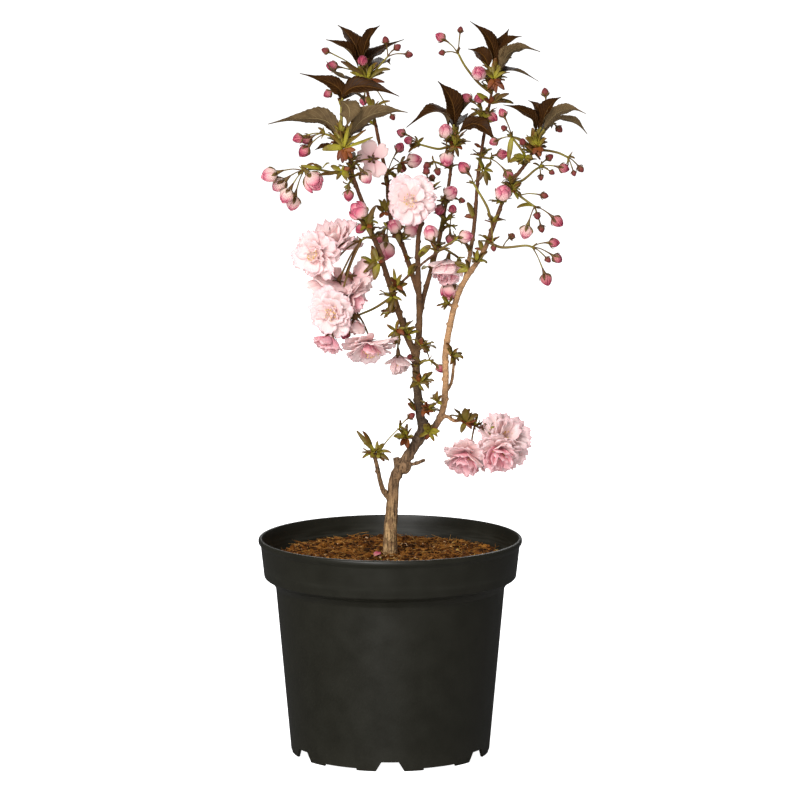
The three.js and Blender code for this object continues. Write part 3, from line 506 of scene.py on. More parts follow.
def walkAlong(points):
    path = smoothPath(points)
    reached = [0.0]
    for here, there in zip(path, path[1:]):
        reached.append(reached[-1] + (there - here).length)
    side = (path[1] - path[0]).orthogonal().normalized()
    frames = []
    for index, place in enumerate(path):
        ahead = (path[min(index + 1, len(path) - 1)] - path[max(index - 1, 0)]).normalized()
        side = (side - ahead * side.dot(ahead)).normalized()
        frames.append((place, side, ahead.cross(side), ahead))

    def at(share):
        goal = min(max(share, 0), 1) * reached[-1]
        index = min(bisect.bisect_right(reached, goal) - 1, len(path) - 2)
        part = (goal - reached[index]) / max(reached[index + 1] - reached[index], 1e-9)
        return [a.lerp(b, part) for a, b in zip(frames[index], frames[index + 1])]
    return at, reached[-1]


def alongStem(points, radii):
    at = walkAlong(points)[0]
    rings = {}

    def bend(co):
        share = round(co.z, 4)
        if share not in rings:
            rings[share] = at(share), steps(radii, share)
        (place, side, over, _), radius = rings[share]
        return place + (side * co.x + over * co.y) * radius
    return bend


# A blade lies along its rib with its upper side facing outward.
def asBlade(root, middle, tip, outward, width, outline, thickness, fold=0.0, cup=0.0,
            teeth=0, toothDepth=0.0, wave=0.0, waves=2.0, phase=0.0):
    handle = middle * 2 - (root + tip) / 2
    rows = {}

    def addRow(share):
        rest = 1 - share
        place = root * rest * rest + handle * 2 * share * rest + tip * share * share
        ahead = ((handle - root) * rest + (tip - handle) * share).normalized()
        side = ahead.cross(outward).normalized()
        return place, side, side.cross(ahead)

    def bend(co):
        share = co.y + 0.5
        key = round(share, 4)
        if key not in rows:
            rows[key] = addRow(share)
        place, side, face = rows[key]
        edge = 2 * co.x
        half = 0.5 * width * steps(outline, share)
        if teeth:
            half *= 1 + toothDepth * ((share * teeth) % 1 - 0.5) * abs(edge) ** 5
        lift = abs(edge) * half * math.sin(fold) - cup * half * edge * edge
        lift += wave * half * edge * edge * math.sin(waves * math.tau * share + phase + (edge > 0))
        lift += co.z * thickness
        return place + side * (edge * half * math.cos(fold)) + face * lift
    return bend


# The ends of an open shell are capped, and its faces turned outward.
def capEnds():
    bpy.ops.mesh.select_all(action="SELECT")
    bpy.ops.mesh.select_non_manifold(extend=False)
    bpy.ops.mesh.edge_face_add()
    bpy.ops.mesh.select_all(action="SELECT")
    bpy.ops.mesh.normals_make_consistent(inside=False)
    bpy.ops.object.mode_set(mode="OBJECT")


def stockPiece(name, *materials):
    piece = bpy.context.object
    piece.name = name
    for material in materials:
        piece.data.materials.append(finishes[material])
    bpy.ops.object.shade_smooth()
    return piece


def tubeTemplate(name, sides, rings, material):
    deselectAll()
    bpy.ops.mesh.primitive_circle_add(vertices=sides, radius=1, fill_type="NOTHING")
    bpy.ops.object.mode_set(mode="EDIT")
    bpy.ops.mesh.select_all(action="SELECT")
    for ring in range(rings):
        bpy.ops.mesh.extrude_region_move(TRANSFORM_OT_translate={"value": (0, 0, 1 / rings)})
    capEnds()
    mesh = bpy.context.object.data
    layer = mesh.uv_layers.get("UVMap") or mesh.uv_layers.new(name="UVMap")
    for loop in mesh.loops:
        co = mesh.vertices[loop.vertex_index].co
        layer.data[loop.index].uv = (math.atan2(co.y, co.x) / math.tau + 0.5, co.z)
    return stockPiece(name, material)


def bladeTemplate(name, across, along, upper, under=None):
    deselectAll()
    bpy.ops.mesh.primitive_grid_add(x_subdivisions=across, y_subdivisions=along, size=1)
    sheet = stockPiece(name, upper, under or upper)
    applyModifier(sheet, "SOLIDIFY", thickness=1, offset=0, material_offset=1,
                  material_offset_rim=1)
    bpy.ops.object.shade_smooth()
    return sheet


def ballTemplate(name, segments, rings, material):
    deselectAll()
    bpy.ops.mesh.primitive_uv_sphere_add(segments=segments, ring_count=rings, radius=1)
    return stockPiece(name, material)


# Pot: a turned shell with its collar, rolled lip, notched skirt and drain holes
potSize = dict(
    sides=144,
    outside=[(28, 0), (31, 8.2), (84.6, 8.2), (84.6, 0), (87, 0), (88.07, 12), (88.6, 18),
             (94.12, 80), (99.29, 138), (100, 146), (103.5, 151),
             (110, 155), (113, 182), (115, 185), (115, 187.8), (113.4, 189)],
    inside=[(111.8, 188.6), (111, 182), (108, 155), (101.5, 153), (98, 147), (97.21, 138),
            (92.12, 80), (86.51, 16), (86, 10.2), (30, 10.2), (27, 2)],
    rounding=0.9, sharpFrom=18, smoothTo=32,
    notches=6, notchHeight=8.4, notchFoot=13, notchTop=7.5, skirt=(70, 100),
    recessHeight=2, recessHalf=16,
    drainReach=(71, 83), drainHalf=4.5, drainHeight=(5, 13),
)


def turnedSolid(name, profile, sides):
    deselectAll()
    radius, height = profile[0]
    bpy.ops.mesh.primitive_circle_add(vertices=sides, radius=radius * 0.001,
                                      fill_type="NOTHING", location=(0, 0, height * 0.001))
    solid = bpy.context.object
    solid.name = name
    bpy.ops.object.transform_apply(location=True)
    bpy.ops.object.mode_set(mode="EDIT")
    bpy.ops.mesh.select_all(action="SELECT")
    for (radius, height), (nextRadius, nextHeight) in zip(profile, profile[1:]):
        bpy.ops.mesh.extrude_region_move(
            TRANSFORM_OT_translate={"value": (0, 0, (nextHeight - height) * 0.001)})
        grow = nextRadius / radius
        bpy.ops.transform.resize(value=(grow, grow, 1), center_override=(0, 0, 0))
    capEnds()
    return solid


# A block from one corner to another, narrowed at the top and turned about the pot's axis
def block(low, high, topShare, angle):
    deselectAll()
    low, high = toMetres(low), toMetres(high)
    middle = (low + high) / 2
    bpy.ops.mesh.primitive_cube_add(size=1, location=middle, scale=high - low)
    made = bpy.context.object
    bpy.ops.object.transform_apply(location=True, rotation=True, scale=True)
    for vertex in made.data.vertices:
        if vertex.co.z > middle.z:
            vertex.co.y *= topShare
    made.rotation_euler = (0, 0, angle)
    bpy.ops.object.transform_apply(rotation=True)
    return made


def makePot():
    size = potSize
    pot = turnedSolid("nurseryPot", size["outside"] + size["inside"], size["sides"])
    applyModifier(pot, "BEVEL", width=size["rounding"] * 0.001, segments=3,
                  limit_method="ANGLE", angle_limit=math.radians(size["sharpFrom"]))
    # Drain holes and notches stand one behind the other, the recesses between them.
    cuts = [
        (size["drainReach"], size["drainHalf"], size["drainHeight"], 1, 0),
        (size["skirt"], size["notchFoot"], (-1, size["notchHeight"]),
         size["notchTop"] / size["notchFoot"], 0),
        (size["skirt"], size["recessHalf"], (-1, size["recessHeight"]), 1, 0.5),
    ]
    for (near, far), half, (low, high), topShare, shift in cuts:
        cutter = joinPieces("potCutter", [
            block((near, -half, low), (far, half, high), topShare,
                  (index + shift) * math.tau / size["notches"] - math.pi / 2)
            for index in range(size["notches"])])
        applyModifier(pot, "BOOLEAN", operation="DIFFERENCE", object=cutter, solver="EXACT")
        dropTemplate(cutter)
    choose(pot)
    bpy.ops.object.shade_smooth_by_angle(angle=math.radians(size["smoothTo"]))
    pot.data.materials.clear()
    pot.data.materials.append(finishes["pot"])
    finish("nurseryPot", [pot], "pot_plastic", "pot")


makePot()
print("pot made")


# Soil: a lumpy bed under crumbs, chips of bark, fibres and pale grains
soilMix = dict(
    sides=144, rings=44,
    below=[(26.3, 2.4), (29.6, 10.6), (85.3, 10.6), (97.6, 147.4), (101, 153.6), (107.5, 155.6),
           (108.3, 165)],
    slope=[(108.3, 165), (98, 171), (50, 173), (4, 173)],
    lumpy=dict(above=0.1655, within=0.104), tone=0.35,
    broadLumps=(0.022, 0.0042), fineLumps=(0.005, 0.0022),
    spread=102, roundTrunk=0.0075,
    crumbs=2200, lumps=800, chips=460, fibres=640, grains=420,
)


lumpForm = dict(stretch=((0.6, 1.3), (0.6, 1.3), (0.5, 1)), roughness=0.25,
                ripples=Vector((9, 7, -8)), raised=0.25)
chipForm = dict(length=(2.5, 8), width=(1.2, 3.2), thick=(0.4, 1.1), tilt=0.45, taper=0.5,
                warp=0.8, raised=0.0008)
fibreForm = dict(length=(5, 20), thick=(0.16, 0.34), taper=(0.6, 1, 0.5), slope=0.15,
                 bow=(-0.3, 0.3), raised=(0.001, 0.0025), arch=0.0006)


def slopeHeight(radius):
    slope = soilMix["slope"]
    for (outer, low), (inner, high) in zip(slope, slope[1:]):
        if radius > inner:
            return between(low, high, (outer - radius) / (outer - inner))
    return slope[-1][1]


def makeBed():
    mix = soilMix
    outer, inner = mix["slope"][0][0], mix["slope"][-1][0]
    radii = [between(outer, inner, (ring + 1) / mix["rings"]) for ring in range(mix["rings"])]
    above = [(radius, slopeHeight(radius)) for radius in radii]
    bed = turnedSolid("soilBed", mix["below"] + above, mix["sides"])
    upper = bed.vertex_groups.new(name="upper")
    upper.add([v.index for v in bed.data.vertices if v.co.z > mix["lumpy"]["above"]
               and math.hypot(v.co.x, v.co.y) < mix["lumpy"]["within"]], 1.0, "REPLACE")
    for name in ("broadLumps", "fineLumps"):
        roughen(bed, name, *mix[name], depth=3, direction="Z", vertex_group="upper")
    choose(bed)
    bpy.ops.object.shade_smooth()
    setChance(bed, mix["tone"])
    bed.data.materials.append(finishes["peat"])
    return bed


def scatterOn(surface, template, count, bendFor):
    copies = []
    while len(copies) < count:
        angle = dice.uniform(0, math.tau)
        reach = soilMix["spread"] * math.sqrt(dice.random()) * 0.001
        if reach < soilMix["roundTrunk"]:
            continue
        start = Vector((reach * math.cos(angle), reach * math.sin(angle), 0.25))
        spot = surface.ray_cast(start, -upward)[0]
        if spot:
            copies.append(copyOf(template, bendFor(spot)))
    return copies


def lumpFor(low, high, flatness):
    form = lumpForm

    def bendFor(spot):
        size = dice.uniform(low, high) * 0.001
        turn = Quaternion(anyWay(), dice.uniform(0, math.tau))
        stretch = Vector([dice.uniform(*span) for span in form["stretch"]])
        jagged = dice.uniform(0, 40)

        def bend(co):
            rough = 1 + form["roughness"] * math.sin(jagged + co.dot(form["ripples"]))
            moved = turn @ (co * stretch) * size * rough
            moved.z *= flatness
            return spot + moved + upward * size * form["raised"]
        return bend
    return bendFor


def chipBend(spot):
    form = chipForm
    length, width, thick = (dice.uniform(*form[name]) for name in ("length", "width", "thick"))
    turn = Quaternion(upward, dice.uniform(0, math.tau)) @ Quaternion(
        (dice.uniform(-1, 1), dice.uniform(-1, 1), 0), dice.gauss(0, form["tilt"]))
    widest = dice.uniform(-0.5, 0.5)

    def bend(co):
        across = co.y * width * (1 - form["taper"] * abs(co.x + widest))
        moved = Vector((co.x * length, across, co.z * thick + form["warp"] * co.x * co.y))
        return spot + turn @ moved * 0.001 + upward * form["raised"]
    return bend


def fibreBend(spot):
    form = fibreForm
    length = dice.uniform(*form["length"]) * 0.001
    way = Vector((dice.uniform(-1, 1), dice.uniform(-1, 1), dice.gauss(0, form["slope"])))
    way.normalize()
    bow = way.cross(upward) * dice.uniform(*form["bow"]) * length
    high = spot + upward * dice.uniform(*form["raised"])
    points = [high - way * length / 2, high + bow + upward * form["arch"], high + way * length / 2]
    thick = dice.uniform(*form["thick"]) * 0.001
    return alongStem(points, [thick * share for share in form["taper"]])


def makeSoil():
    mix = soilMix
    bed = makeBed()
    surface = BVHTree.FromPolygons([v.co for v in bed.data.vertices],
                                   [face.vertices for face in bed.data.polygons])
    deselectAll()
    bpy.ops.mesh.primitive_ico_sphere_add(subdivisions=1, radius=1)
    crumb = bpy.context.object
    bpy.ops.mesh.primitive_cube_add(size=1)
    chip = bpy.context.object
    bpy.ops.object.mode_set(mode="EDIT")
    bpy.ops.mesh.select_all(action="SELECT")
    bpy.ops.mesh.subdivide(number_cuts=1)
    bpy.ops.object.mode_set(mode="OBJECT")
    fibre = tubeTemplate("fibre", 3, 5, "fibres")
    pieces = {"soilBed": [bed]}
    for name, template, tone, count, bendFor in (
            ("soilCrumbs", crumb, "peat", "crumbs", lumpFor(0.7, 1.9, 0.8)),
            ("soilCrumbs", crumb, "peat", "lumps", lumpFor(1.6, 3.4, 0.75)),
            ("barkChips", chip, "barkChips", "chips", chipBend),
            ("peatFibres", fibre, "fibres", "fibres", fibreBend),
            ("paleGrains", crumb, "paleGrains", "grains", lumpFor(0.6, 1.5, 0.9))):
        template.data.materials.clear()
        template.data.materials.append(finishes[tone])
        pieces.setdefault(name, []).extend(scatterOn(surface, template, mix[count], bendFor))
    for name, parts in pieces.items():
        finish(name, parts, "potting_soil", "soil")
    dropTemplate(crumb, chip, fibre)


makeSoil()
print("soil made")


# Wood: boughs swell at their nodes and are grown into one skin
woodSettings = dict(
    sides=14, rings=72, skin=0.00064, nodeSpacing=17, nodeSwell=1.22, bareBelow=0.235,
    nodePlace=(0.35, 0.75), nodeWidth=(0.94, 1.06), nodeHeight=(0.6, 1.0), nodeLean=0.22,
    knotHeight=1.35, tipWidth=1.15,
    cutEnds=("prunedStub", "deadTwig"), leafyFrom=0.42, leafyUnder=0.003,
    spurRadii=[0.0017, 0.0015, 0.0016], barkLumps=(0.007, 0.0007), barkGrain=(0.0022, 0.0005),
)
# Points from foot to tip in millimetres, and radii spread evenly
boughs = {
    "trunk": ([(0, 0, 112), (0, 0, 150), (0, 0, 191), (1, 0, 206), (2, 0, 222), (4, 0, 241),
        (12, 0, 255), (24, 0, 274), (28, 0, 285), (26, -1, 297), (23, -4, 325), (22, -6, 352)], [5,
        6.5, 6.9, 6.2, 5.5, 5, 4.7, 4.3, 4, 3.7, 3.5]),
    "leftBough": ([(22, -6, 350), (13, -10, 370), (5, -18, 396), (-3, -26, 422), (-9, -31, 442),
        (-16, -36, 460), (-22, -40, 481), (-31, -46, 507), (-35, -50, 528), (-41, -52, 541)], [3,
        2.7, 2.5, 2.3, 2, 1.8, 1.5]),
    "middle": ([(22, -6, 350), (25, -3, 369), (25, 1, 397), (24, 2, 423), (24, -2, 449),
        (27, -6, 465), (32, -9, 481), (35, -10, 493)], [3, 2.8, 2.5, 2, 1.4]),
    "backLeft": ([(24, 2, 403), (20, 6, 416), (11, 16, 441), (2, 26, 458), (-2, 36, 484),
        (-3, 42, 499), (-9, 50, 526), (-16, 57, 559), (-23, 60, 581)], [2.4, 2.2, 2, 1.8, 1.5,
        1.3]),
    "midRight": ([(25, 0, 381), (29, 6, 399), (36, 14, 423), (42, 22, 445), (48, 28, 476),
        (52, 30, 503), (55, 32, 527)], [2.4, 2.2, 2, 1.7, 1.3]),
    "rightBough": ([(25, 0, 275), (35, -3, 282), (45, -9, 300), (48, -15, 327), (48, -20, 356),
        (56, -27, 398), (66, -32, 421), (79, -36, 441), (89, -38, 467), (101, -32, 497),
        (116, -24, 517), (122, -20, 527)], [3.1, 3, 2.9, 2.8, 2.7, 2.5, 2.2, 2, 1.8, 1.5]),
    "backRight": ([(64, -31, 418), (68, -18, 435), (73, 8, 464), (76, 34, 497), (81, 50, 531),
        (88, 56, 570), (90, 56, 582)], [2.1, 1.9, 1.7, 1.5, 1.3]),
    "lowTwig": ([(2, 0, 220), (-4, -4, 227), (-8, -8, 237), (-13, -14, 261)], [2.6, 2.2, 1.9]),
    "deadTwig": ([(47, -13, 317), (53, -6, 326), (55, -2, 340), (57, 0, 354)], [1.7, 1.4, 1.2]),
    "crossTwig": ([(3, -21, 409), (13, -24, 418), (26, -26, 430), (40, -26, 441)], [1.4, 1.2, 1]),
    "shortSpur": ([(14, 0, 252), (23, -6, 255), (29, -9, 258)], [1.9, 1.5]),
    "prunedStub": ([(7, 0, 247), (5, 2, 259)], [3.4, 2.8]),
    "lowSpur": ([(44, -8, 295), (49, -12, 297), (55, -16, 294), (63, -20, 295)], [1.9, 1.5]),
}
knots = [(25, 0, 276, 5.2), (22, -6, 352, 4.4), (13, -1, 252, 5.7)]

# Short spurs: foot, tip, and the tips of their scales
spurs = [
    ((-6, -29, 431), (-14, -35, 431), [(-25, -38, 438), (-15, -40, 448), (-13, -38, 420)]),
    ((1, -22, 410), (5, -27, 410), [(10, -30, 416)]),
    ((7, -16, 391), (1, -20, 389), [(-1, -24, 401), (-5, -24, 384)]),
    ((16, -9, 366), (15, -16, 369), [(10, -18, 375), (22, -18, 375)]),
    ((22, -6, 352), (29, -14, 359), [(27, -18, 367), (34, -16, 354)]),
    ((23, -5, 325), (28, -12, 328), [(32, -14, 335), (33, -14, 322)]),
    ((26, -2, 300), (34, -8, 302), [(40, -10, 307)]),
    ((48, -20, 356), (53, -25, 352), [(59, -28, 358), (56, -26, 343)]),
    ((47, -12, 310), (41, -18, 310), [(34, -20, 314)]),
    ((23, -2, 277), (14, -8, 278), [(9, -12, 288)]),
    ((55, -26, 394), (50, -30, 397), [(44, -34, 403), (46, -32, 392)]),
    ((72, -34, 429), (74, -40, 435), [(75, -43, 445), (83, -42, 434)]),
    ((-13, -14, 260), (-15, -16, 265), [(-24, -18, 261), (-24, -20, 285), (-5, -22, 259)]),
    ((98, -34, 492), (104, -40, 496), [(112, -40, 501), (109, -42, 488)]),
]
woodNodes = []


def makeWood():
    size = woodSettings
    tube = tubeTemplate("boughStock", size["sides"], size["rings"], "bark")
    ball = ballTemplate("nodeStock", 12, 8, "bark")
    parts = []
    for name, (points, radii) in boughs.items():
        points = allMetres(points)
        radii = [r * 0.001 for r in radii]
        parts.append(copyOf(tube, alongStem(points, radii)))
        at, length = walkAlong(points)
        count = int(length * 1000 / size["nodeSpacing"])
        for index in range(count):
            share = (index + dice.uniform(*size["nodePlace"])) / count
            place, side, over, ahead = at(share)
            if name == "trunk" and place.z < size["bareBelow"]:
                continue
            radius = steps(radii, share)
            swell = radius * size["nodeSwell"] * dice.uniform(*size["nodeWidth"])
            tall = radius * dice.uniform(*size["nodeHeight"])
            if place.z > size["leafyFrom"] and radius < size["leafyUnder"]:
                woodNodes.append((place, radius))
            lean = swing(side, over, spiral * index) * radius * size["nodeLean"]
            parts.append(copyOf(ball, lambda co: place + lean + ahead * co.z * tall
                                + (side * co.x + over * co.y) * swell))
        if name not in size["cutEnds"]:
            end = at(1)[0]
            parts.append(copyOf(ball, lambda co: end + co * radii[-1] * size["tipWidth"]))
    for x, y, z, radius in knots:
        centre = toMetres((x, y, z))
        stretch = Vector((1, 1, size["knotHeight"])) * radius * 0.001
        parts.append(copyOf(ball, lambda co: centre + co * stretch))
    for foot, tip, _ in spurs:
        foot, tip = allMetres((foot, tip))
        parts.append(copyOf(tube, alongStem([foot, foot.lerp(tip, 0.5), tip], size["spurRadii"])))
    wood = joinPieces("wood", parts)
    applyModifier(wood, "REMESH", mode="VOXEL", voxel_size=size["skin"], use_smooth_shade=True)
    applyModifier(wood, "SMOOTH", factor=0.5, iterations=3)
    for name in ("barkLumps", "barkGrain"):
        roughen(wood, name, *size[name])
    choose(wood)
    bpy.ops.object.shade_smooth()
    wood.data.materials.clear()
    wood.data.materials.append(finishes["bark"])
    finish("wood", [wood], "bark", "tree")
    dropTemplate(tube, ball)


makeWood()
print("wood made")


# Stock pieces that the leaves, buds and blooms are bent from: faces each way, then finishes
stockBlades = {
    "leaf": (8, 42, "leafTop", "leafUnder"), "scale": (2, 6, "scale"),
    "leaflet": (2, 7, "leaflet"), "husk": (2, 5, "husk"), "sepal": (2, 4, "calyx"),
    "petal": (12, 6, "petalFace", "petalBack"), "innerPetal": (8, 5, "petalFace", "petalBack"),
    "pinkPetal": (8, 5, "pinkPetal"), "bigWrap": (8, 8, "budPetal"), "midWrap": (6, 6, "midBud"),
}
stockBalls = {
    "bigBud": (24, 14, "budPetal"), "midBud": (16, 10, "midBud"), "smallBud": (12, 8, "smallBud"),
    "heart": (8, 6, "petalFace"), "anther": (6, 4, "anther"),
}
stockTubes = {
    "stalk": (7, 14, "stalk"), "shoot": (9, 24, "stalk"), "calyx": (10, 5, "calyx"),
    "thread": (4, 4, "filament"),
}
stock = {}
for make, kinds in ((bladeTemplate, stockBlades), (ballTemplate, stockBalls),
                    (tubeTemplate, stockTubes)):
    for name, values in kinds.items():
        stock[name] = make(name + "Stock", *values)


def grow(parts, kind, bend, chance=None):
    parts.append(copyOf(stock[kind], bend, chance))


# Scales, leaflets and husks share one form.
scaleForm = dict(outline=[0.4, 0.76, 0.96, 1.0, 0.92, 0.7, 0.26], thickness=0.0005, wave=0.15,
                 broad=0.38, narrowest=0.003, widest=0.0052, foot=0.0008, jitter=(-0.3, 0.3),
                 rise=(-0.35, 0.45), arch=(-0.02, 0.16), fold=(0.2, 0.5))
sepalForm = dict(outline=[0.75, 1.0, 0.85, 0.5, 0.06], thickness=0.0004)


def scaleBend(root, middle, tip, face, width, fold, wave=scaleForm["wave"], phase=0.0):
    return asBlade(root, middle, tip, face, width, scaleForm["outline"], scaleForm["thickness"],
                   fold=fold, wave=wave, phase=phase)


def sepalBend(root, middle, tip, face, width, cup=0.0):
    return asBlade(root, middle, tip, face, width, sepalForm["outline"], sepalForm["thickness"],
                   cup=cup)


def addScales(parts, hub, count, reach, kind="scale", lift=0.35, heading=upward,
              broad=(0.34, 0.46)):
    form = scaleForm
    side, over = squareTo(heading)
    start = dice.uniform(0, math.tau)
    for index in range(count):
        angle = start + index * spiral + dice.uniform(*form["jitter"])
        way = swing(side, over, angle)
        length = dice.uniform(*reach) * 0.001
        rise = lift + dice.uniform(*form["rise"])
        root = hub + way * form["foot"]
        tip = root + swing(way, heading, rise).normalized() * length
        middle = root.lerp(tip, 0.5) + heading * length * dice.uniform(*form["arch"])
        face = swing(heading, -way, rise).normalized()
        grow(parts, kind, scaleBend(root, middle, tip, face, length * dice.uniform(*broad),
                                    fold=dice.uniform(*form["fold"]), phase=angle))


def scaleTo(parts, hub, tip):
    form = scaleForm
    root, end = allMetres((hub, tip))
    length = (end - root).length
    middle = root.lerp(end, 0.5) + upward * length * 0.1
    width = min(max(length * form["broad"], form["narrowest"]), form["widest"])
    grow(parts, "scale", scaleBend(root, middle, end, (upward + forward * 0.6).normalized(),
                                   width, fold=0.4, wave=0.0))


# Each kind: stock piece, width by length, widest in metres, and its range of tone
sprigKinds = {
    "scale": ("scale", 0.3, 0.0034, (0.0, 0.8)), "broad": ("scale", 0.5, 0.0062, (0.0, 0.5)),
    "leaflet": ("leaflet", 0.4, 0.0046, (0.0, 1.0)), "wide": ("leaflet", 0.5, 0.0068, (0.0, 0.6)),
    "husk": ("husk", 0.55, 0.0052, (0.0, 1.0)),
}
sprigForm = dict(foot=0.06, arch=(-0.05, 0.16), up=(0.1, 1), out=(0.3, 1.2), fold=(0.15, 0.5))
# Leaflets strewn over the young wood: how often a node has none, how many and how long
strewn = dict(bare=0.5, count=(2, 4), kinds=("scale", "leaflet", "leaflet", "husk"),
              length=(0.008, 0.015), husk=0.6, broad=(0.36, 0.5), tone=(0, 0.7), fold=0.3,
              out=0.4, level=0.5, spread=0.75, lift=0.35, arch=0.1)
# Sprigs of young leaflets and bud scales at the nodes: hub, then tips by kind
sprigs = [
    ((-20, 50, 584), dict(scale=[(-20, 52, 598), (-16, 42, 597), (-11, 42, 599), (-5, 52, 590),
     (-35, 44, 591), (-38, 47, 596), (-26, 46, 596)], husk=[(-5, 44, 582), (-11, 46, 579),
     (-27, 44, 580), (-18, 42, 577)], leaflet=[(-43, 47, 600), (0, 46, 593)])),
    ((-39, -60, 533), dict(scale=[(-50, -63, 545), (-46, -58, 550), (-34, -66, 551),
     (-27, -58, 543), (-20, -64, 549), (-14, -66, 543), (-31, -64, 557), (-42, -63, 548)],
     husk=[(-37, -68, 523), (-32, -64, 525), (-44, -63, 523), (-29, -64, 532), (-40, -66, 521)],
     broad=[(-57, -64, 532)])),
    ((90, 44, 585), dict(scale=[(86, 46, 596), (89, 46, 599), (96, 41, 596), (100, 40, 591),
     (83, 40, 590)], husk=[(99, 38, 576), (96, 38, 582), (85, 40, 577), (92, 40, 573),
     (88, 40, 576)], leaflet=[(81, 40, 593)])),
    ((87, 38, 564), dict(leaflet=[(103, 30, 573), (100, 30, 566), (95, 34, 573), (107, 40, 564)],
     husk=[(90, 34, 570), (81, 34, 568)], broad=[(75, 34, 573)])),
    ((80, 34, 549), dict(broad=[(64, 31, 549), (70, 26, 560), (86, 28, 542), (86, 26, 554)],
     scale=[(76, 31, 559), (81, 30, 543), (89, 30, 549)])),
    ((56, 20, 528), dict(scale=[(52, 12, 539), (59, 14, 539), (56, 12, 541)],
     leaflet=[(64, 12, 531), (59, 22, 519), (49, 22, 521)], husk=[(62, 14, 526), (51, 22, 526)])),
    ((126, -32, 532), dict(scale=[(121, -40, 542), (124, -38, 545), (133, -40, 540),
     (129, -40, 544)], broad=[(115, -40, 540)], husk=[(120, -35, 534), (130, -40, 529),
     (122, -36, 526), (128, -35, 524)], leaflet=[(134, -35, 536)])),
    ((115, -34, 524), dict(broad=[(102, -38, 519), (105, -40, 525), (121, -42, 523)],
     scale=[(112, -40, 529), (119, -42, 519), (109, -37, 517)])),
    ((81, 26, 507), dict(broad=[(74, 20, 518), (87, 28, 498)], leaflet=[(77, 23, 498),
     (88, 18, 515), (84, 23, 494)], scale=[(73, 28, 507), (89, 20, 506)])),
    ((-15, 44, 559), dict(broad=[(-21, 41, 570)], scale=[(-10, 38, 566), (0, 40, 566),
     (-4, 46, 558)], leaflet=[(-15, 40, 568)])),
    ((24, 24, 531), dict(leaflet=[(17, 18, 528), (29, 20, 536)], scale=[(21, 21, 537)])),
    ((9, 14, 514), dict(leaflet=[(3, 6, 519), (13, 16, 520), (7, 6, 506)], husk=[(13, 16, 507),
     (15, 6, 515)])),
    ((-41, -60, 513), dict(scale=[(-39, -63, 519), (-36, -66, 506)], broad=[(-50, -58, 518),
     (-35, -68, 509)], leaflet=[(-60, -68, 511), (-45, -66, 507)], husk=[(-34, -63, 517)])),
    ((-57, -60, 516), dict(scale=[(-65, -66, 520), (-75, -64, 519), (-51, -68, 521)])),
    ((-20, -50, 466), dict(broad=[(-22, -48, 478), (-14, -48, 477)], leaflet=[(-28, -58, 473),
     (-12, -54, 484), (-16, -58, 458)], scale=[(-25, -58, 463), (-25, -48, 474)],
     husk=[(-15, -56, 465)])),
    ((-5, -4, 474), dict(leaflet=[(-12, -12, 480), (2, -12, 484), (-5, -12, 486), (1, -8, 477)],
     husk=[(-2, -10, 471), (-9, -8, 469)], scale=[(-10, -12, 485), (3, -7, 479)])),
    ((6, 8, 455), dict(leaflet=[(1, 4, 462), (8, 2, 445), (12, 2, 461)], husk=[(2, 10, 450)])),
    ((-10, -40, 434), dict(leaflet=[(-16, -38, 448), (-20, -43, 426)], broad=[(-13, -46, 420)],
     husk=[(-5, -44, 435)])),
    ((5, -30, 412), dict(broad=[(9, -28, 417), (0, -38, 408)], husk=[(1, -38, 418),
     (11, -33, 409)], scale=[(3, -33, 428), (10, -34, 423)], leaflet=[(-3, -36, 413)])),
    ((2, -26, 403), dict(leaflet=[(0, -32, 389), (6, -29, 393)], scale=[(-3, -34, 398),
     (10, -30, 400)])),
    ((5, -24, 373), dict(scale=[(-3, -28, 379), (-2, -22, 367), (7, -28, 383), (13, -27, 376)],
     husk=[(12, -30, 370), (8, -28, 380)], leaflet=[(1, -27, 363), (8, -32, 362)])),
    ((-32, -44, 390), dict(leaflet=[(-36, -48, 396), (-34, -50, 386), (-25, -47, 386)])),
    ((26, -22, 360), dict(scale=[(19, -30, 366), (33, -26, 365)], leaflet=[(32, -25, 355),
     (22, -20, 367)], husk=[(27, -26, 367)])),
    ((24, -16, 327), dict(scale=[(18, -14, 332), (31, -19, 333), (29, -19, 320)],
     leaflet=[(17, -24, 323), (34, -19, 326)], husk=[(26, -24, 335)])),
    ((65, -28, 294), dict(wide=[(55, -36, 307), (64, -31, 307), (69, -31, 306), (76, -32, 301),
     (61, -34, 286), (57, -31, 297)], husk=[(72, -26, 291), (70, -32, 289), (61, -31, 296),
     (74, -36, 297)])),
    ((84, -24, 287), dict(scale=[(81, -28, 293), (94, -30, 288), (83, -27, 281)],
     husk=[(77, -32, 290), (94, -22, 283)], leaflet=[(89, -22, 293)])),
    ((-12, -17, 266), dict(leaflet=[(-29, -15, 285), (-5, -25, 275), (-1, -23, 260)],
     scale=[(-23, -25, 275), (-11, -15, 276), (1, -23, 267)], broad=[(-17, -25, 263),
     (-10, -25, 262)])),
    ((34, -10, 283), dict(broad=[(25, -8, 278), (29, -18, 291), (37, -13, 290), (43, -18, 285)],
     scale=[(41, -18, 280), (38, -18, 276)], husk=[(41, -14, 287), (31, -8, 276)],
     leaflet=[(33, -16, 292)])),
    ((14, -9, 278), dict(broad=[(10, -12, 287), (15, -7, 284), (3, -17, 280)],
     scale=[(6, -17, 287), (20, -17, 280)], husk=[(15, -12, 269), (9, -17, 272)])),
    ((31, -6, 301), dict(husk=[(27, -4, 306), (35, -14, 307), (37, -14, 301), (28, -14, 297),
     (32, -14, 310), (34, -9, 297)])),
    ((22, -8, 301), dict(leaflet=[(15, -16, 313), (16, -12, 307)], husk=[(15, -11, 308)])),
]


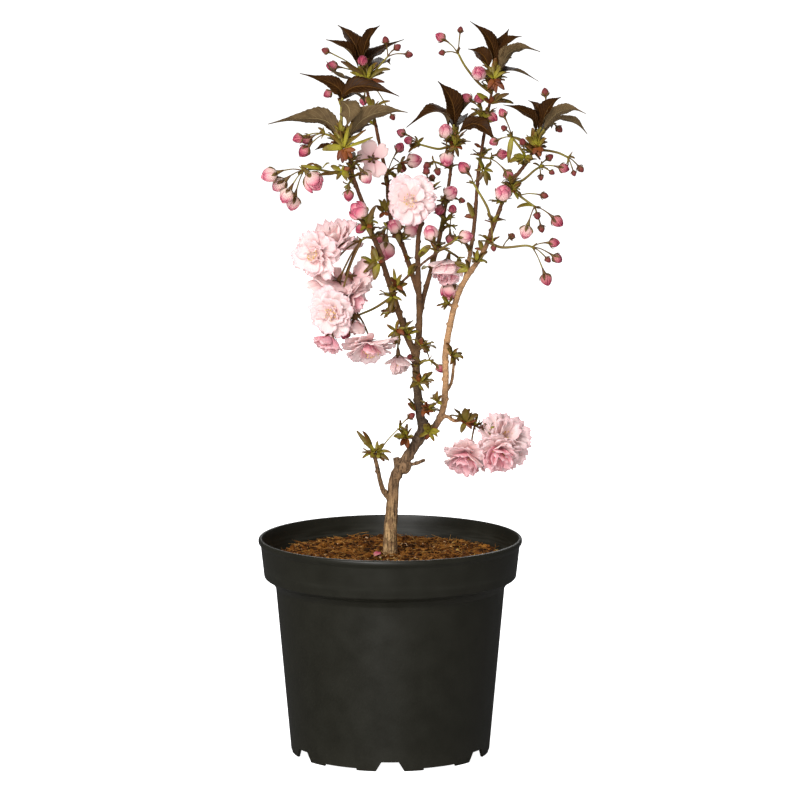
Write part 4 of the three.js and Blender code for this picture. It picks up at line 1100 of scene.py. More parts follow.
def makeSprigs():
    form = sprigForm
    parts = []
    for hub, tips in sprigs:
        root = toMetres(hub)
        for kind, ends in tips.items():
            stockName, broad, widest, chances = sprigKinds[kind]
            for end in allMetres(ends):
                length = (end - root).length
                foot = root.lerp(end, form["foot"])
                middle = foot.lerp(end, 0.5) + upward * length * dice.uniform(*form["arch"])
                face = upward * dice.uniform(*form["up"]) + forward * dice.uniform(*form["out"])
                grow(parts, stockName, scaleBend(
                    foot, middle, end, face.normalized(), min(length * broad, widest),
                    fold=dice.uniform(*form["fold"]), phase=dice.uniform(0, 6)),
                    dice.uniform(*chances))
    form = strewn
    for place, radius in woodNodes:
        if dice.random() < form["bare"]:
            continue
        lean = (anyWay() + forward * form["out"]).normalized()
        lean.z = abs(lean.z) * form["level"]
        foot = place + lean.normalized() * radius * 0.8
        for index in range(dice.randint(*form["count"])):
            kind = dice.choice(form["kinds"])
            way = (lean + anyWay() * form["spread"] + upward * form["lift"]).normalized()
            length = dice.uniform(*form["length"]) * (form["husk"] if kind == "husk" else 1)
            end = foot + way * length
            middle = foot.lerp(end, 0.5) + upward * length * form["arch"]
            face = (forward * 0.7 + upward * 0.6 + anyWay() * 0.7).normalized()
            grow(parts, kind, scaleBend(
                foot, middle, end, face, length * dice.uniform(*form["broad"]),
                fold=form["fold"]), dice.uniform(*form["tone"]))
    finish("nodeLeaflets", parts, "green_wood_and_buds", "tree")


def makeSpurScales():
    scales, husks = [], []
    for foot, tip, scaleTips in spurs:
        for end in scaleTips:
            scaleTo(scales, tip, end)
        hub = toMetres(tip)
        heading = ((hub - toMetres(foot)).normalized() + upward).normalized()
        addScales(scales, hub, 5, (7, 11), heading=heading)
        addScales(scales, hub, 3, (7, 12), "leaflet", heading=heading)
        addScales(husks, hub, 3, (4, 7), "husk", heading=heading)
    finish("spurLeaflets", scales, "green_wood_and_buds", "tree")
    finish("spurHusks", husks, "green_wood_and_buds", "tree")


makeSprigs()
makeSpurScales()
print("spur leaflets made")


# Leaves: folded, toothed and drawn out to a thin tip, in tufts at the ends of the boughs
leafShape = dict(
    outline=[0.05, 0.24, 0.5, 0.74, 0.9, 0.98, 1.0, 0.97, 0.89, 0.76, 0.58, 0.38, 0.19, 0.08,
             0.03],
    wider=1.6, thickness=0.00045, fold=(0.22, 0.57), teeth=17, toothDepth=0.13, wave=0.16,
    waves=(1.5, 2.6), petiole=0.85, arch=0.0006,
    petioleRadii=[0.0013, 0.0009], shootRadii=[0.0016, 0.0014, 0.0013],
    crownRadii=[0.0017, 0.0024, 0.0012], crownHeights=(-0.003, 0.001, 0.006), crown=0.004,
)
# Hub, an optional shoot, and leaves as root, middle, tip, width and how far the upper side
# leans forward
leafTufts = {
    "backLeftTop": ((-23, 60, 581), [], [
        ((-29, 56, 596), (-38, 50, 610), (-56, 44, 619), 10, 0.6),
        ((-26, 62, 595), (-32, 66, 615), (-46, 76, 630), 13, 0.3),
        ((-24, 60, 601), (-20, 56, 618), (-9, 48, 631), 11, 0.6),
        ((-21, 64, 595), (-14, 72, 605), (12, 86, 617), 10, 0.4),
        ((-32, 54, 584), (-46, 44, 588), (-55, 32, 601), 10, 0.3),
        ((-20, 66, 588), (-8, 84, 597), (0, 104, 594), 10, 0.2),
    ]),
    "leftShoot": ((-41, -53, 537), [(-41, -54, 550), (-41, -52, 568)], [
        ((-43, -52, 573), (-46, -52, 585), (-76, -58, 596), 10, 1.1),
        ((-40, -52, 576), (-24, -56, 585), (8, -64, 577), 11, 1.2),
        ((-40, -48, 574), (-29, -36, 577), (-20, -28, 566), 10, 0.5),
        ((-42, -58, 573), (-34, -70, 566), (-37, -76, 552), 12, -2.2),
    ]),
    "leftTuft": ((-41, -51, 534), [], [
        ((-47, -46, 544), (-61, -45, 557), (-103, -56, 553), 12, -1.7),
        ((-32, -56, 545), (-15, -64, 562), (15, -72, 564), 12, -1.2),
        ((-45, -46, 541), (-49, -38, 549), (-58, -24, 560), 9, 0.4),
        ((-50, -52, 534), (-56, -54, 534), (-64, -56, 531), 4, 0.8),
        ((-36, -44, 540), (-27, -34, 547), (-14, -22, 551), 9, 0.3),
    ]),
    "backRightTop": ((91, 56, 583), [], [
        ((89, 54, 599), (87, 50, 617), (69, 44, 635), 9, 0.9),
        ((92, 58, 599), (97, 64, 613), (104, 74, 627), 9, 0.4),
        ((95, 54, 598), (101, 48, 615), (114, 40, 622), 8, 0.7),
        ((97, 52, 594), (107, 44, 610), (130, 36, 609), 10, -0.7),
        ((84, 60, 594), (81, 68, 604), (68, 80, 609), 10, 1.2),
        ((97, 60, 585), (107, 66, 591), (130, 74, 581), 8, 0.2),
        ((93, 64, 592), (99, 82, 599), (107, 102, 600), 10, 0.3),
    ]),
    "midTop": ((55, 32, 529), [], [
        ((55, 28, 549), (53, 22, 567), (41, 14, 585), 13, 0.9),
        ((58, 36, 546), (62, 42, 556), (73, 54, 567), 11, -0.6),
        ((49, 30, 545), (40, 24, 558), (14, 14, 545), 12, 0.4),
        ((61, 28, 541), (76, 22, 547), (92, 12, 531), 11, 1.0),
        ((56, 40, 541), (60, 62, 550), (67, 86, 548), 11, 0.2),
    ]),
    "rightTop": ((123, -21, 529), [], [
        ((124, -24, 546), (118, -28, 559), (96, -36, 568), 9, 0.8),
        ((127, -22, 549), (128, -18, 561), (118, -10, 570), 8, 0.6),
        ((130, -26, 551), (135, -32, 565), (145, -42, 575), 10, 0.9),
        ((133, -28, 549), (146, -34, 563), (166, -44, 561), 10, -0.8),
        ((134, -22, 546), (150, -18, 555), (169, -10, 541), 10, -0.4),
        ((128, -14, 542), (136, 6, 547), (140, 30, 543), 10, 0.2),
    ]),
}


def addLeaf(leaves, stalks, crown, root, middle, tip, width, lean):
    shape = leafShape
    root, middle, tip = allMetres((root, middle, tip))
    base = crown.lerp(root, shape["petiole"])
    rib = (tip - base).normalized()
    outward = (upward + forward * lean).normalized()
    outward = (outward - rib * outward.dot(rib)).normalized()
    bow = crown.lerp(base, 0.5) + outward * shape["arch"]
    grow(stalks, "stalk", alongStem([crown, bow, base], shape["petioleRadii"]), 0.8)
    grow(leaves, "leaf", asBlade(
        base, middle, tip, outward, width * shape["wider"] * 0.001, shape["outline"],
        shape["thickness"], fold=dice.uniform(*shape["fold"]), teeth=shape["teeth"],
        toothDepth=shape["toothDepth"], wave=shape["wave"],
        waves=dice.uniform(*shape["waves"]), phase=dice.uniform(0, 6)))


# A node's name as the end of a piece's name
def label(name):
    return name[0].upper() + name[1:]


def makeTufts():
    for name, (hub, shoot, tuftLeaves) in leafTufts.items():
        leaves, stalks, scales, husks = [], [], [], []
        foot = toMetres(hub)
        crown = foot + upward * leafShape["crown"]
        points, radii = [foot + upward * h for h in leafShape["crownHeights"]], "crownRadii"
        if shoot:
            points, radii = [foot] + allMetres(shoot), "shootRadii"
            crown = points[-1]
        grow(stalks, "shoot", alongStem(points, leafShape[radii]), 0.9)
        for leaf in tuftLeaves:
            addLeaf(leaves, stalks, crown, *leaf)
        addScales(scales, foot + upward * 0.002, 7, (12, 19), lift=1.0, broad=(0.24, 0.34))
        addScales(scales, foot, 5, (9, 15), lift=0.15)
        addScales(scales, foot, 5, (9, 15), "leaflet", lift=0.5)
        addScales(scales, crown, 3, (5, 9), lift=1.0)
        addScales(husks, foot - upward * 0.001, 8, (6, 11), "husk", lift=0.2, broad=(0.45, 0.62))
        node = "leaves_" + name
        finish("leaves" + label(name), leaves, "leaf", node)
        finish("petioles" + label(name), stalks + scales + husks, "green_wood_and_buds", node)


makeTufts()
print("leaves made")


# Buds: an egg in its calyx, wrapped in petals from 7 mm up, and opening from 13.5 mm up.
# Measures without a unit are shares of the bud's width.
budForm = dict(
    length=1.22, fullness=0.62, taper=0.82, core=0.92, big=0.010, mid=0.007, opening=0.0135,
    wraps=dict(big=5, mid=3), wrapFoot=0.06, wrapHalf=0.85, wrapLift=1.03, wrapRound=0.16,
    overlap=0.045, wrapThickness=0.035, lean=(0.72, 0.9), top=(0.86, 1.0), tones=(-0.3, 0.3),
    bow=0.07, droop=0.2, behind=0.52,
    stalkRadii=[0.000676, 0.00052, 0.000676], calyxFoot=0.0007, calyxRadii=(0.1, 0.15, 0.22),
    calyx=0.45, sepals=5, sepalWidth=0.3, sepalCup=0.35,
    sepalPoints=((0.02, 1.1), (0.22, 1.24), (0.46, 1.22)),
    openOutline=[0.3, 0.7, 0.95, 1, 0.95, 0.8, 0.5], openPetals=4, openReach=(0.5, 0.62),
    openLength=(0.9, 1.1), openWidth=(0.7, 0.9), openCup=0.55,
)


def eggPoint(foot, facing, side, over, size, share, angle, bulge=1.0):
    form = budForm
    girth = math.sin(math.pi * min(max(share, 0), 1) ** form["taper"]) ** form["fullness"]
    return (foot + facing * (share * form["length"] * size)
            + swing(side, over, angle) * (girth * 0.5 * size * bulge))


def wrapBend(egg, angle, lean, top):
    form = budForm

    def bend(co):
        edge = 2 * co.x
        rise = (co.y + 0.5) * (1 - form["wrapRound"] * edge * edge)
        share = between(form["wrapFoot"], top, rise)
        lift = form["wrapLift"] + form["overlap"] * edge + co.z * form["wrapThickness"]
        return eggPoint(*egg, share, angle + edge * form["wrapHalf"] + lean * share, lift)
    return bend


def addBud(green, petals, start, bud):
    form = budForm
    centre, size = toMetres(bud[:3]), bud[3] * 0.001
    facing = ((centre - start).normalized() - upward * form["droop"]).normalized()
    foot = centre - facing * size * form["behind"]
    neck = foot - facing * size * form["calyx"]
    bow = start.lerp(neck, 0.5) + upward * (neck - start).length * form["bow"]
    grow(green, "stalk", alongStem([start, bow, neck], form["stalkRadii"]))
    chance = dice.random()
    grow(green, "calyx", alongStem(
        [neck - facing * 0.0005, neck.lerp(foot, 0.5), foot + facing * size * 0.1],
        [form["calyxFoot"]] + [size * r for r in form["calyxRadii"]]), chance)
    side, over = squareTo(facing)
    egg = (foot, facing, side, over, size)
    twist = dice.uniform(0, math.tau)
    kind = "big" if size >= form["big"] else "mid" if size >= form["mid"] else "small"
    core = 1.0 if kind == "small" else form["core"]
    grow(petals, kind + "Bud", lambda co: eggPoint(
        *egg, (co.z + 1) / 2, math.atan2(co.y, co.x) + twist, core), chance)
    for index in range(form["sepals"]):
        angle = twist + index * math.tau / form["sepals"]
        points = (eggPoint(*egg, share, angle, lift) for share, lift in form["sepalPoints"])
        grow(green, "sepal", sepalBend(*points, swing(side, over, angle),
                                       size * form["sepalWidth"], form["sepalCup"]), chance)
    if kind == "small":
        return
    for index in range(form["wraps"][kind]):
        angle = twist + 0.4 + index * math.tau / form["wraps"][kind]
        grow(petals, kind + "Wrap", wrapBend(
            egg, angle, dice.uniform(*form["lean"]), dice.uniform(*form["top"])),
            min(1, max(0, chance + dice.uniform(*form["tones"]))))
    if size < form["opening"]:
        return
    # The widest buds are just opening: a few petals stand off the rest.
    for index in range(form["openPetals"]):
        angle = twist + 0.9 + index * math.tau / form["openPetals"]
        way = swing(side, over, angle)
        reach = dice.uniform(*form["openReach"])
        grow(petals, "bigWrap", asBlade(
            foot + way * size * 0.2 + facing * size * 0.08,
            foot + facing * size * 0.5 + way * size * (reach + 0.02),
            foot + facing * size * dice.uniform(*form["openLength"]) + way * size * reach * 0.8,
            way, size * dice.uniform(*form["openWidth"]), form["openOutline"], 0.0005,
            cup=form["openCup"]), chance)


# Blooms: end of the calyx, facing, width and form
blooms = {
    "A": ((-61, -46, 441), (-0.5, -0.84, 0.05), 39, "loose"),
    "B": ((-48, -29, 441), (-0.3, -0.1, 0.95), 48, "fan"),
    "C": ((-44, -34, 418), (-0.4, 0.3, -0.85), 46, "full"),
    "C2": ((-33, -24, 420), (0.85, 0.35, -0.35), 34, "half"),
    "D": ((-36, -42, 406), (0.8, -0.3, -0.5), 32, "half"),
    "E": ((-49, -56, 392), (-0.2, -0.95, 0.1), 38, "full"),
    "F": ((-50, -62, 375), (-0.25, -0.2, -0.94), 25, "bell"),
    "F2": ((-30, -44, 386), (-0.05, 0.0, -1), 21, "cup"),
    "G": ((-18, -38, 366), (0.1, -0.5, -0.86), 42, "full"),
    "H": ((7, -15, 351), (0.05, 0, -1), 27, "cup"),
    "I": ((68, -30, 270), (-0.3, -0.6, -0.74), 36, "pompom"),
    "J": ((93, -34, 274), (0.05, -0.76, -0.64), 37, "pompom"),
    "K": ((95, -20, 276), (0.5, -0.66, 0.56), 42, "fan"),
    "L": ((18, -22, 485), (-0.12, -0.97, 0.05), 38, "loose"),
    "M": ((-15, -36, 522), (0.1, 0.98, -0.05), 32, "simple"),
    "N": ((50, 2, 432), (-0.15, -0.45, -0.85), 34, "cup"),
}
bloomForm = dict(
    calyx=0.006, bow=0.08, stalkRadii=[0.001, 0.0008, 0.0009],
    calyxRadii=[0.0009, 0.0017, 0.0019, 0.0024], tone=0.2, stalkTone=0.05,
    sepals=5, sepalRise=0.75, flatRise=0.25, sepalFoot=0.0016, sepalLength=0.0064,
    sepalWidth=0.0023,
    depthTurn=0.55, jitter=(-0.2, 0.2), reach=(0.84, 1.1), rise=(-0.16, 0.2), tones=(0.1, 0.8),
    threads=14, threadRadii=[0.0003, 0.0002], threadReach=(0.24, 0.34), threadRise=(0.9, 1.4),
    heart=0.003, anther=0.0006,
)


def addBloomStalk(green, start, name):
    form = bloomForm
    calyx, facing, _, kind = blooms[name]
    end = toMetres(calyx)
    facing = Vector(facing).normalized()
    neck = end - facing * form["calyx"]
    bow = start.lerp(neck, 0.5) + upward * (neck - start).length * form["bow"]
    grow(green, "stalk", alongStem([start, bow, neck], form["stalkRadii"]), form["stalkTone"])
    grow(green, "calyx", alongStem(
        [neck - facing * 0.0004, neck.lerp(end, 0.5), end + facing * 0.0006],
        form["calyxRadii"]), form["tone"])
    side, over = squareTo(facing)
    turn = dice.uniform(0, math.tau)
    rise = form["flatRise"] if kind == "full" else form["sepalRise"]
    for index in range(form["sepals"]):
        way = swing(side, over, turn + index * math.tau / form["sepals"])
        root = end + way * form["sepalFoot"]
        tip = root + swing(way, facing, rise) * form["sepalLength"] - facing * 0.0004
        middle = root.lerp(tip, 0.5) - facing * 0.0006
        grow(green, "sepal", sepalBend(root, middle, tip, facing, form["sepalWidth"]),
             form["tone"])


# Sprays: the stem's points, buds as place and size, side buds by fork, scale tips, blooms
stemRadii = (0.00135, 0.0011, 0.00095)
sprays = {
    "leftTip": dict(stem=[(-41, -52, 537), (-50, -56, 543), (-55, -58, 545)],
        buds=[(-70, -52, 540, 8.5), (-77, -66, 542, 8), (-72, -60, 531, 9.5)],
        bracts=[(-61, -56, 550)]),
    "leftLong": dict(stem=[(-32, -47, 514), (-42, -52, 511), (-63, -56, 515), (-73, -58, 514)],
        buds=[(-101, -64, 511, 12), (-93, -52, 502, 12), (-87, -66, 494, 11.5),
        (-82, -54, 487, 11.5), (-65, -62, 506, 15)], bracts=[(-75, -54, 518), (-64, -60, 520)]),
    "topLeft": dict(stem=[(88, 56, 572), (76, 52, 582), (65, 48, 596), (59, 46, 607)],
        buds=[(44, 44, 621, 8), (61, 50, 627, 5), (45, 40, 608, 5)], sideBuds=[(1,
        (77, 42, 590, 12))]),
    "rosette": dict(stem=[(84, 54, 552), (80, 48, 556)], buds=[(67, 46, 568, 8.5),
        (77, 40, 568, 8), (89, 44, 552, 8)], bracts=[(65, 44, 547), (82, 40, 546), (76, 52, 563)]),
    "rightStar": dict(stem=[(114, -25, 515), (115, -27, 524), (104, -28, 540)],
        buds=[(96, -26, 560, 7), (97, -33, 548, 5), (89, -24, 536, 7)], sideBuds=[(1,
        (113, -33, 536, 6))], bracts=[(101, -30, 518), (128, -32, 521)]),
    "rightCrown": dict(stem=[(123, -20, 526), (128, -12, 536), (135, -4, 553)],
        buds=[(133, -2, 576, 6.5), (144, 0, 561, 6), (145, 0, 545, 6)]),
    "rightArc": dict(stem=[(121, -20, 525), (130, -19, 528), (143, -18, 526), (152, -18, 522)],
        buds=[(163, -14, 512, 6), (157, -24, 509, 4.5)], bracts=[(158, -20, 521)]),
    "rightFork": dict(stem=[(103, -31, 501), (113, -27, 503), (123, -24, 511), (128, -22, 514)],
        buds=[(136, -22, 522, 6), (148, -22, 513, 8), (138, -28, 510, 4.5), (129, -18, 505, 5)],
        bracts=[(122, -24, 517)]),
    "rightDroop": dict(stem=[(101, -32, 498), (110, -38, 491), (123, -42, 482)],
        buds=[(142, -44, 470, 9.5), (125, -50, 475, 6), (129, -38, 463, 6), (116, -42, 461, 10.5)],
        sideBuds=[(1, (131, -38, 491, 6))], bracts=[(108, -44, 481)]),
    "rightBud": dict(stem=[(95, -36, 484), (95, -42, 487)], buds=[(96, -48, 494, 13)]),
    "rightLow": dict(stem=[(84, -38, 451), (96, -42, 447), (115, -46, 449), (121, -48, 448)],
        buds=[(139, -52, 452, 8), (142, -44, 438, 8), (134, -54, 438, 5), (133, -48, 421, 9.5)],
        sideBuds=[(1, (104, -28, 455, 6))]),
    "rightNode": dict(stem=[(88, -38, 467), (85, -42, 474), (82, -44, 483), (71, -46, 502)],
        buds=[(63, -46, 515, 9.5)], sideBuds=[(1, (88, -54, 448, 5))]),
    "backRightFace": dict(stem=[(79, 45, 517), (87, 42, 516)], buds=[(97, 38, 520, 8.5),
        (103, 44, 502, 8.5)]),
    "midNode": dict(stem=[(47, 26, 462), (52, 22, 459)], buds=[(52, 20, 448, 8), (54, 16, 474, 7)],
        bracts=[(44, 20, 454), (57, 26, 455)]),
    "midHigh": dict(stem=[(48, 28, 476), (47, 22, 482)], buds=[(43, 16, 474, 8.5),
        (52, 18, 488, 11.5), (62, 24, 481, 5)]),
    "midTip": dict(stem=[(55, 32, 525), (49, 26, 527), (41, 22, 526), (26, 18, 530)],
        buds=[(10, 20, 540, 7), (16, 12, 534, 7)], sideBuds=[(1, (48, 20, 541, 11.5)), (1,
        (49, 16, 518, 11.5))], bracts=[(16, 20, 523)]),
    "midSide": dict(stem=[(53, 31, 508), (43, 24, 513), (38, 20, 515)], buds=[(41, 16, 507, 6),
        (32, 18, 512, 6)]),
    "middleTip": dict(stem=[(35, -10, 492), (33, -12, 495)], buds=[(31, -18, 510, 6),
        (36, -4, 503, 6)], blooms=["L"]),
    "backLeftNode": dict(stem=[(-3, 42, 501), (-2, 38, 505)], buds=[(8, 32, 526, 8),
        (10, 44, 507, 7), (20, 30, 515, 12)], bracts=[(7, 36, 496), (-12, 40, 511)]),
    "leftMauve": dict(stem=[(-33, -49, 522), (-30, -46, 519)], buds=[(-21, -46, 508, 10.5)],
        blooms=["M"]),
    "leftHang": dict(stem=[(-31, -46, 508), (-35, -52, 502)], buds=[(-35, -54, 493, 8.5)]),
    "leftNode": dict(stem=[(-17, -36, 461), (-18, -45, 469)], buds=[(-26, -52, 479, 14),
        (-25, -50, 464, 8)], bracts=[(-14, -48, 478), (-10, -48, 468)]),
    "backLeftHang": dict(stem=[(4, 24, 454), (-2, 20, 458)], buds=[(-8, 26, 449, 9.5),
        (-4, 14, 439, 14)]),
    "backLeftPair": dict(stem=[(9, 18, 446), (10, 12, 450)], buds=[(4, 6, 460, 11.5),
        (18, 8, 457, 12), (26, 14, 461, 6)]),
    "crossTip": dict(stem=[(40, -26, 441), (45, -27, 445), (56, -28, 452)],
        buds=[(64, -30, 455, 10.5)], sideBuds=[(0, (35, -32, 458, 12))]),
    "leftFive": dict(stem=[(-14, -34, 454), (-20, -37, 455), (-24, -38, 453)], blooms=["A", "B",
        "C", "D", "C2"]),
    "leftLow": dict(stem=[(3, -20, 403), (-13, -24, 393), (-27, -34, 388)],
        buds=[(-38, -44, 373, 8), (-33, -40, 394, 5)], blooms=["E", "F", "G", "F2"]),
    "lowBell": dict(stem=[(12, -11, 373), (7, -14, 368)], buds=[(-5, -16, 361, 6)],
        bracts=[(-1, -18, 375), (3, -22, 358)], blooms=["H"]),
    "lowThree": dict(stem=[(62, -20, 295), (73, -24, 291)], bracts=[(65, -22, 302),
        (76, -26, 299)], blooms=["I", "J", "K"]),
    "stemArch": dict(stem=[(22, -5, 338), (27, -9, 344), (34, -11, 346)], buds=[(43, -12, 339, 7),
        (31, -12, 355, 5)], sideBuds=[(1, (17, -19, 350, 4.5))]),
    "midDroop": dict(stem=[(41, 21, 442), (50, 18, 438), (59, 16, 432)], buds=[(52, 10, 405, 14)],
        blooms=["N"]),
    "lowTip": dict(stem=[(-13, -14, 261), (-3, -17, 276), (8, -19, 288)], buds=[(18, -18, 298, 6)],
        thin=0.55),
}
# Small buds about the highest tuft, on a stalk of their own
topRadii = [0.0011, 0.0009, 0.0008]
topBuds = dict(stem=[(-20, 58, 584), (-11, 56, 594), (-2, 54, 604)], buds=[(-4, 50, 618, 6),
               (6, 50, 612, 6), (16, 48, 606, 6)], nearBuds=[(-24, 42, 601, 8.5),
               (-50, 46, 596, 9), (-56, 50, 609, 6), (-54, 50, 572, 7), (-23, 46, 566, 7),
               (2, 44, 552, 5)])


def makeSprays():
    for name, spray in sprays.items():
        green, petals, scales, husks = [], [], [], []
        points = allMetres(spray["stem"])
        radii = [r * spray.get("thin", 1) for r in stemRadii]
        grow(green, "shoot", alongStem(points, radii), dice.uniform(0.5, 0.9))
        end = points[-1]
        for bud in spray.get("buds", []):
            addBud(green, petals, end, bud)
        for fork, bud in spray.get("sideBuds", []):
            addBud(green, petals, points[fork], bud)
        for bloom in spray.get("blooms", []):
            addBloomStalk(green, end, bloom)
        for tip in spray.get("bracts", []):
            scaleTo(scales, spray["stem"][-1], tip)
        heading = (points[-1] - points[-2]).normalized()
        addScales(scales, end, 3, (4, 7), heading=heading, lift=0.5)
        addScales(scales, end, 1, (5, 8), "leaflet", heading=heading, lift=0.6)
        foot = points[0].lerp(points[1], 0.1)
        addScales(scales, foot, 4, (7, 12), lift=0.5)
        addScales(scales, foot, 4, (7, 13), "leaflet", lift=0.4)
        addScales(husks, foot, 4, (4, 8), "husk", lift=0.3, broad=(0.45, 0.6))
        node = "spray_" + name
        finish("stalks" + label(name), green + scales + husks, "green_wood_and_buds", node)
        if petals:
            finish("buds" + label(name), petals, "petals", node)


def makeTopBuds():
    green, petals = [], []
    points = allMetres(topBuds["stem"])
    grow(green, "shoot", alongStem(points, topRadii), 0.9)
    for bud in topBuds["buds"]:
        addBud(green, petals, points[-1], bud)
    for bud in topBuds["nearBuds"]:
        addBud(green, petals, points[0], bud)
    finish("stalksTop", green, "green_wood_and_buds", "leaves_backLeftTop")
    finish("budsTop", petals, "petals", "leaves_backLeftTop")


makeSprays()
makeTopBuds()
print("sprays made")


# Blooms: whorls of notched, frilled petals round a heart of stamens. Each whorl has its count,
# reach, rise, width by length, and bow.
whorls = {
    "full": [(6, 1.16, 0.08, 0.92, -0.06), (6, 1.1, 0.32, 0.84, -0.02),
        (5, 0.96, 0.58, 0.78, 0.04), (4, 0.74, 0.86, 0.7, 0.06), (3, 0.54, 1.12, 0.62, 0.06)],
    "loose": [(5, 1.18, 0.06, 1.0, -0.06), (5, 1.08, 0.3, 0.9, -0.02), (4, 0.86, 0.56, 0.84, 0.05),
        (2, 0.6, 0.95, 0.7, 0.08)],
    "fan": [(6, 1.24, 0.3, 0.9, -0.1), (6, 1.26, 0.6, 0.84, -0.08), (6, 1.22, 0.88, 0.76, -0.05),
        (4, 1.1, 1.2, 0.64, 0.0)],
    "half": [(5, 1.22, 0.4, 0.96, -0.08), (5, 1.2, 0.74, 0.86, -0.06), (4, 1.1, 1.1, 0.72, 0.0)],
    "pompom": [(6, 1.1, 0.28, 0.98, -0.05), (6, 1.2, 0.6, 0.9, -0.04), (5, 1.22, 0.92, 0.8, -0.02),
        (4, 1.14, 1.24, 0.68, 0.0)],
    "bell": [(6, 1.3, 0.75, 0.86, -0.12), (6, 1.3, 0.96, 0.78, -0.1), (5, 1.22, 1.16, 0.68, -0.05),
        (4, 1.04, 1.36, 0.52, -0.02)],
    "cup": [(4, 1.16, 0.4, 0.86, 0.1), (4, 1.2, 0.82, 0.95, 0.26), (4, 1.14, 1.12, 0.9, 0.32),
        (3, 0.98, 1.36, 0.7, 0.3)],
    "simple": [(5, 1.1, 0.22, 0.74, 0.05), (2, 0.8, 0.5, 0.66, 0.05)],
}
petalShape = dict(outline=[0.2, 0.4, 0.64, 0.84, 0.97, 1.03, 1.03, 0.97, 0.86], thickness=0.0004,
                  roundness=0.17, notch=0.1, teeth=0.03, ruffle=0.11, cup=0.16, twist=0.45,
                  foot=0.0009, smooth=dict(cup=0.15, simple=0.15), broader=(0.88, 1.1),
                  ruffles=(2.0, 2.5, 3.0), deeper=(0.4, 1.5), notchWidth=0.22,
                  skew=(-0.12, 0.12), bow=(-0.05, 0.05))
# The whorl from which a bloom's petals turn a deeper pink
pinkFrom = {"D": 2, "F": 0, "G": 3, "I": 2, "J": 2, "N": 2}
fallenPetal = dict(place=(-14, -24, 176), way=(0.5, 0.85, 0), length=0.008, width=0.9, bow=0.1,
                   rise=0.3, tone=0.1)


def petalBend(foot, facing, way, width, bow, length, rise, frilled=1.0):
    shape = petalShape
    turn = Quaternion(swing(way, facing, rise), dice.uniform(-shape["twist"], shape["twist"]))
    ahead = swing(way, facing, rise)
    across = turn @ facing.cross(way)
    inward = turn @ swing(facing, -way, rise)
    half = 0.5 * length * width * dice.uniform(*shape["broader"])
    phase = dice.uniform(0, math.tau)
    ruffles = dice.choice(shape["ruffles"])
    notch = shape["notch"] * dice.uniform(*shape["deeper"])
    skew = dice.uniform(*shape["skew"])
    teeth = [dice.uniform(-1, 1) + (0.8 if step % 2 else -0.8) for step in range(13)]
    bow += dice.uniform(*shape["bow"])

    def bend(co):
        share = co.y + 0.5
        edge = 2 * co.x
        tipward = share ** 4
        reach = share * (1 - shape["roundness"] * edge * edge * tipward)
        reach -= notch * tipward * math.exp(-(edge / shape["notchWidth"]) ** 2)
        reach += frilled * shape["teeth"] * tipward * teeth[round(6 * edge) + 6]
        sideways = edge * half * steps(shape["outline"], share) + skew * length * share * share
        lift = bow * length * share * share
        lift += shape["cup"] * half * edge * edge * (1 - 0.5 * share)
        lift += (frilled * shape["ruffle"] * half * share * share
                 * math.sin(ruffles * math.pi * edge + phase))
        lift += co.z * shape["thickness"]
        return (foot + way * shape["foot"] + ahead * (reach * length) + across * sideways
                + inward * lift)
    return bend


def addStamens(name, foot, facing, side, over, width):
    form = bloomForm
    threads, tips = [], []
    for index in range(form["threads"]):
        way = swing(side, over, index * spiral)
        rise = dice.uniform(*form["threadRise"])
        length = width * 0.001 * dice.uniform(*form["threadReach"])
        tip = foot + swing(way, facing, rise) * length
        bow = foot.lerp(tip, 0.5) + facing * 0.0008
        grow(threads, "thread", alongStem([foot, bow, tip], form["threadRadii"]))
        grow(tips, "anther", lambda co: tip + co * form["anther"])
    finish("stamens" + name, threads + tips, "petals", "bloom_" + name)


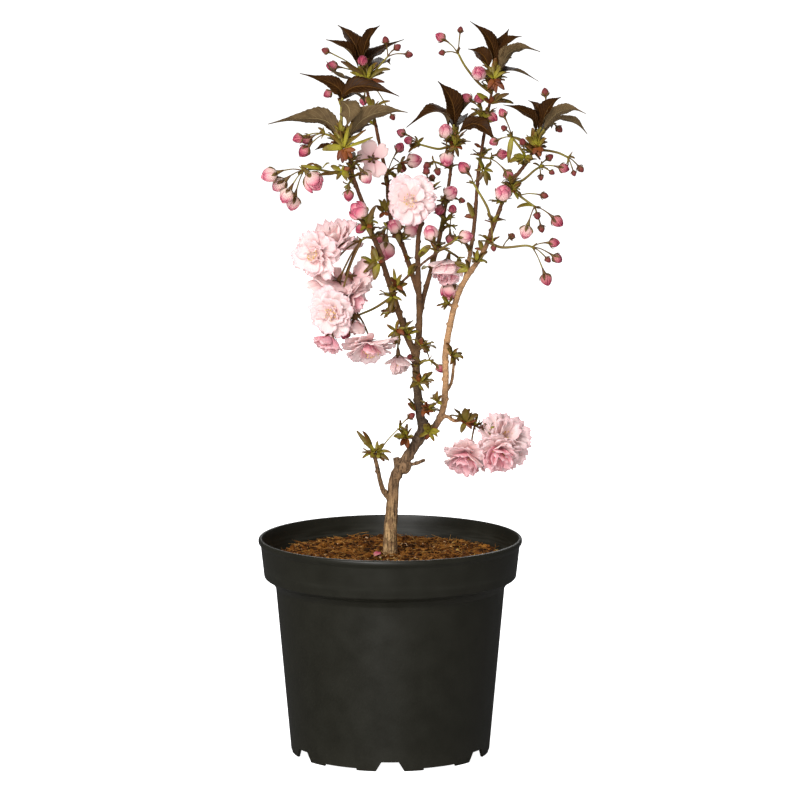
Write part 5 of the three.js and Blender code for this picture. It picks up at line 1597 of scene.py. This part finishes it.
def makeBlooms():
    form = bloomForm
    for name, (calyx, facing, width, kind) in blooms.items():
        facing = Vector(facing).normalized()
        foot = toMetres(calyx) + facing * 0.0006
        side, over = squareTo(facing)
        petals = []
        start = dice.uniform(0, math.tau)
        for depth, (count, reach, lift, broad, bow) in enumerate(whorls[kind]):
            stockName = "petal" if depth < 2 else "innerPetal"
            if depth >= pinkFrom.get(name, 9):
                stockName = "pinkPetal"
            for index in range(count):
                angle = start + depth * form["depthTurn"]
                angle += (index + dice.uniform(*form["jitter"])) * math.tau / count
                length = 0.5 * width * 0.001 * reach * dice.uniform(*form["reach"])
                rise = lift + dice.uniform(*form["rise"])
                chance = dice.uniform(*form["tones"])
                grow(petals, stockName, petalBend(
                    foot + facing * 0.0005 * depth, facing, swing(side, over, angle), broad, bow,
                    length, rise, petalShape["smooth"].get(kind, 1.0)), chance)
        grow(petals, "heart", lambda co: foot + facing * 0.0018 + co * form["heart"])
        finish("petals" + name, petals, "petals", "bloom_" + name)
        addStamens(name, foot, facing, side, over, width)


def dropPetal():
    petal = fallenPetal
    fallen = copyOf(stock["midWrap"], petalBend(
        toMetres(petal["place"]), upward, Vector(petal["way"]), petal["width"], petal["bow"],
        petal["length"], petal["rise"]), petal["tone"])
    finish("fallenPetal", [fallen], "petals")


makeBlooms()
dropPetal()
print("blooms made")
dropTemplate(*stock.values())


# Floor: wide enough to fill the view behind, with a glow that keeps it as pale as the sky
floorSettings = dict(size=60, glow=dict(light=0.12, seen=1.0, mirrored=0.0),
                     white=dict(light=0.8, seen=0.8, mirrored=0.1), patches=0.02)
deselectAll()
bpy.ops.mesh.primitive_plane_add(size=floorSettings["size"], location=(0, 0, 0))
floor = bpy.context.object
floor.name = "studioFloor"
floorFinish, floorShader, floorSpot = newMaterial("studioFloor", 0.7, 0.0)
floorTree = floorShader.id_data
patches = addGrain(floorSpot["Object"], 6, 0.3)[0]
floorWhite = plus(levelByRay(floorTree, floorSettings["white"]),
                  times(patches, floorSettings["patches"]))
floorTree.links.new(floorWhite, floorShader.inputs["Base Color"])
floorTree.links.new(levelByRay(floorTree, floorSettings["glow"]),
                    floorShader.inputs["Emission Strength"])
floorShader.inputs["Emission Color"].default_value = (1, 1, 1, 1)
floor.data.materials.append(floorFinish)

print("all pieces made")
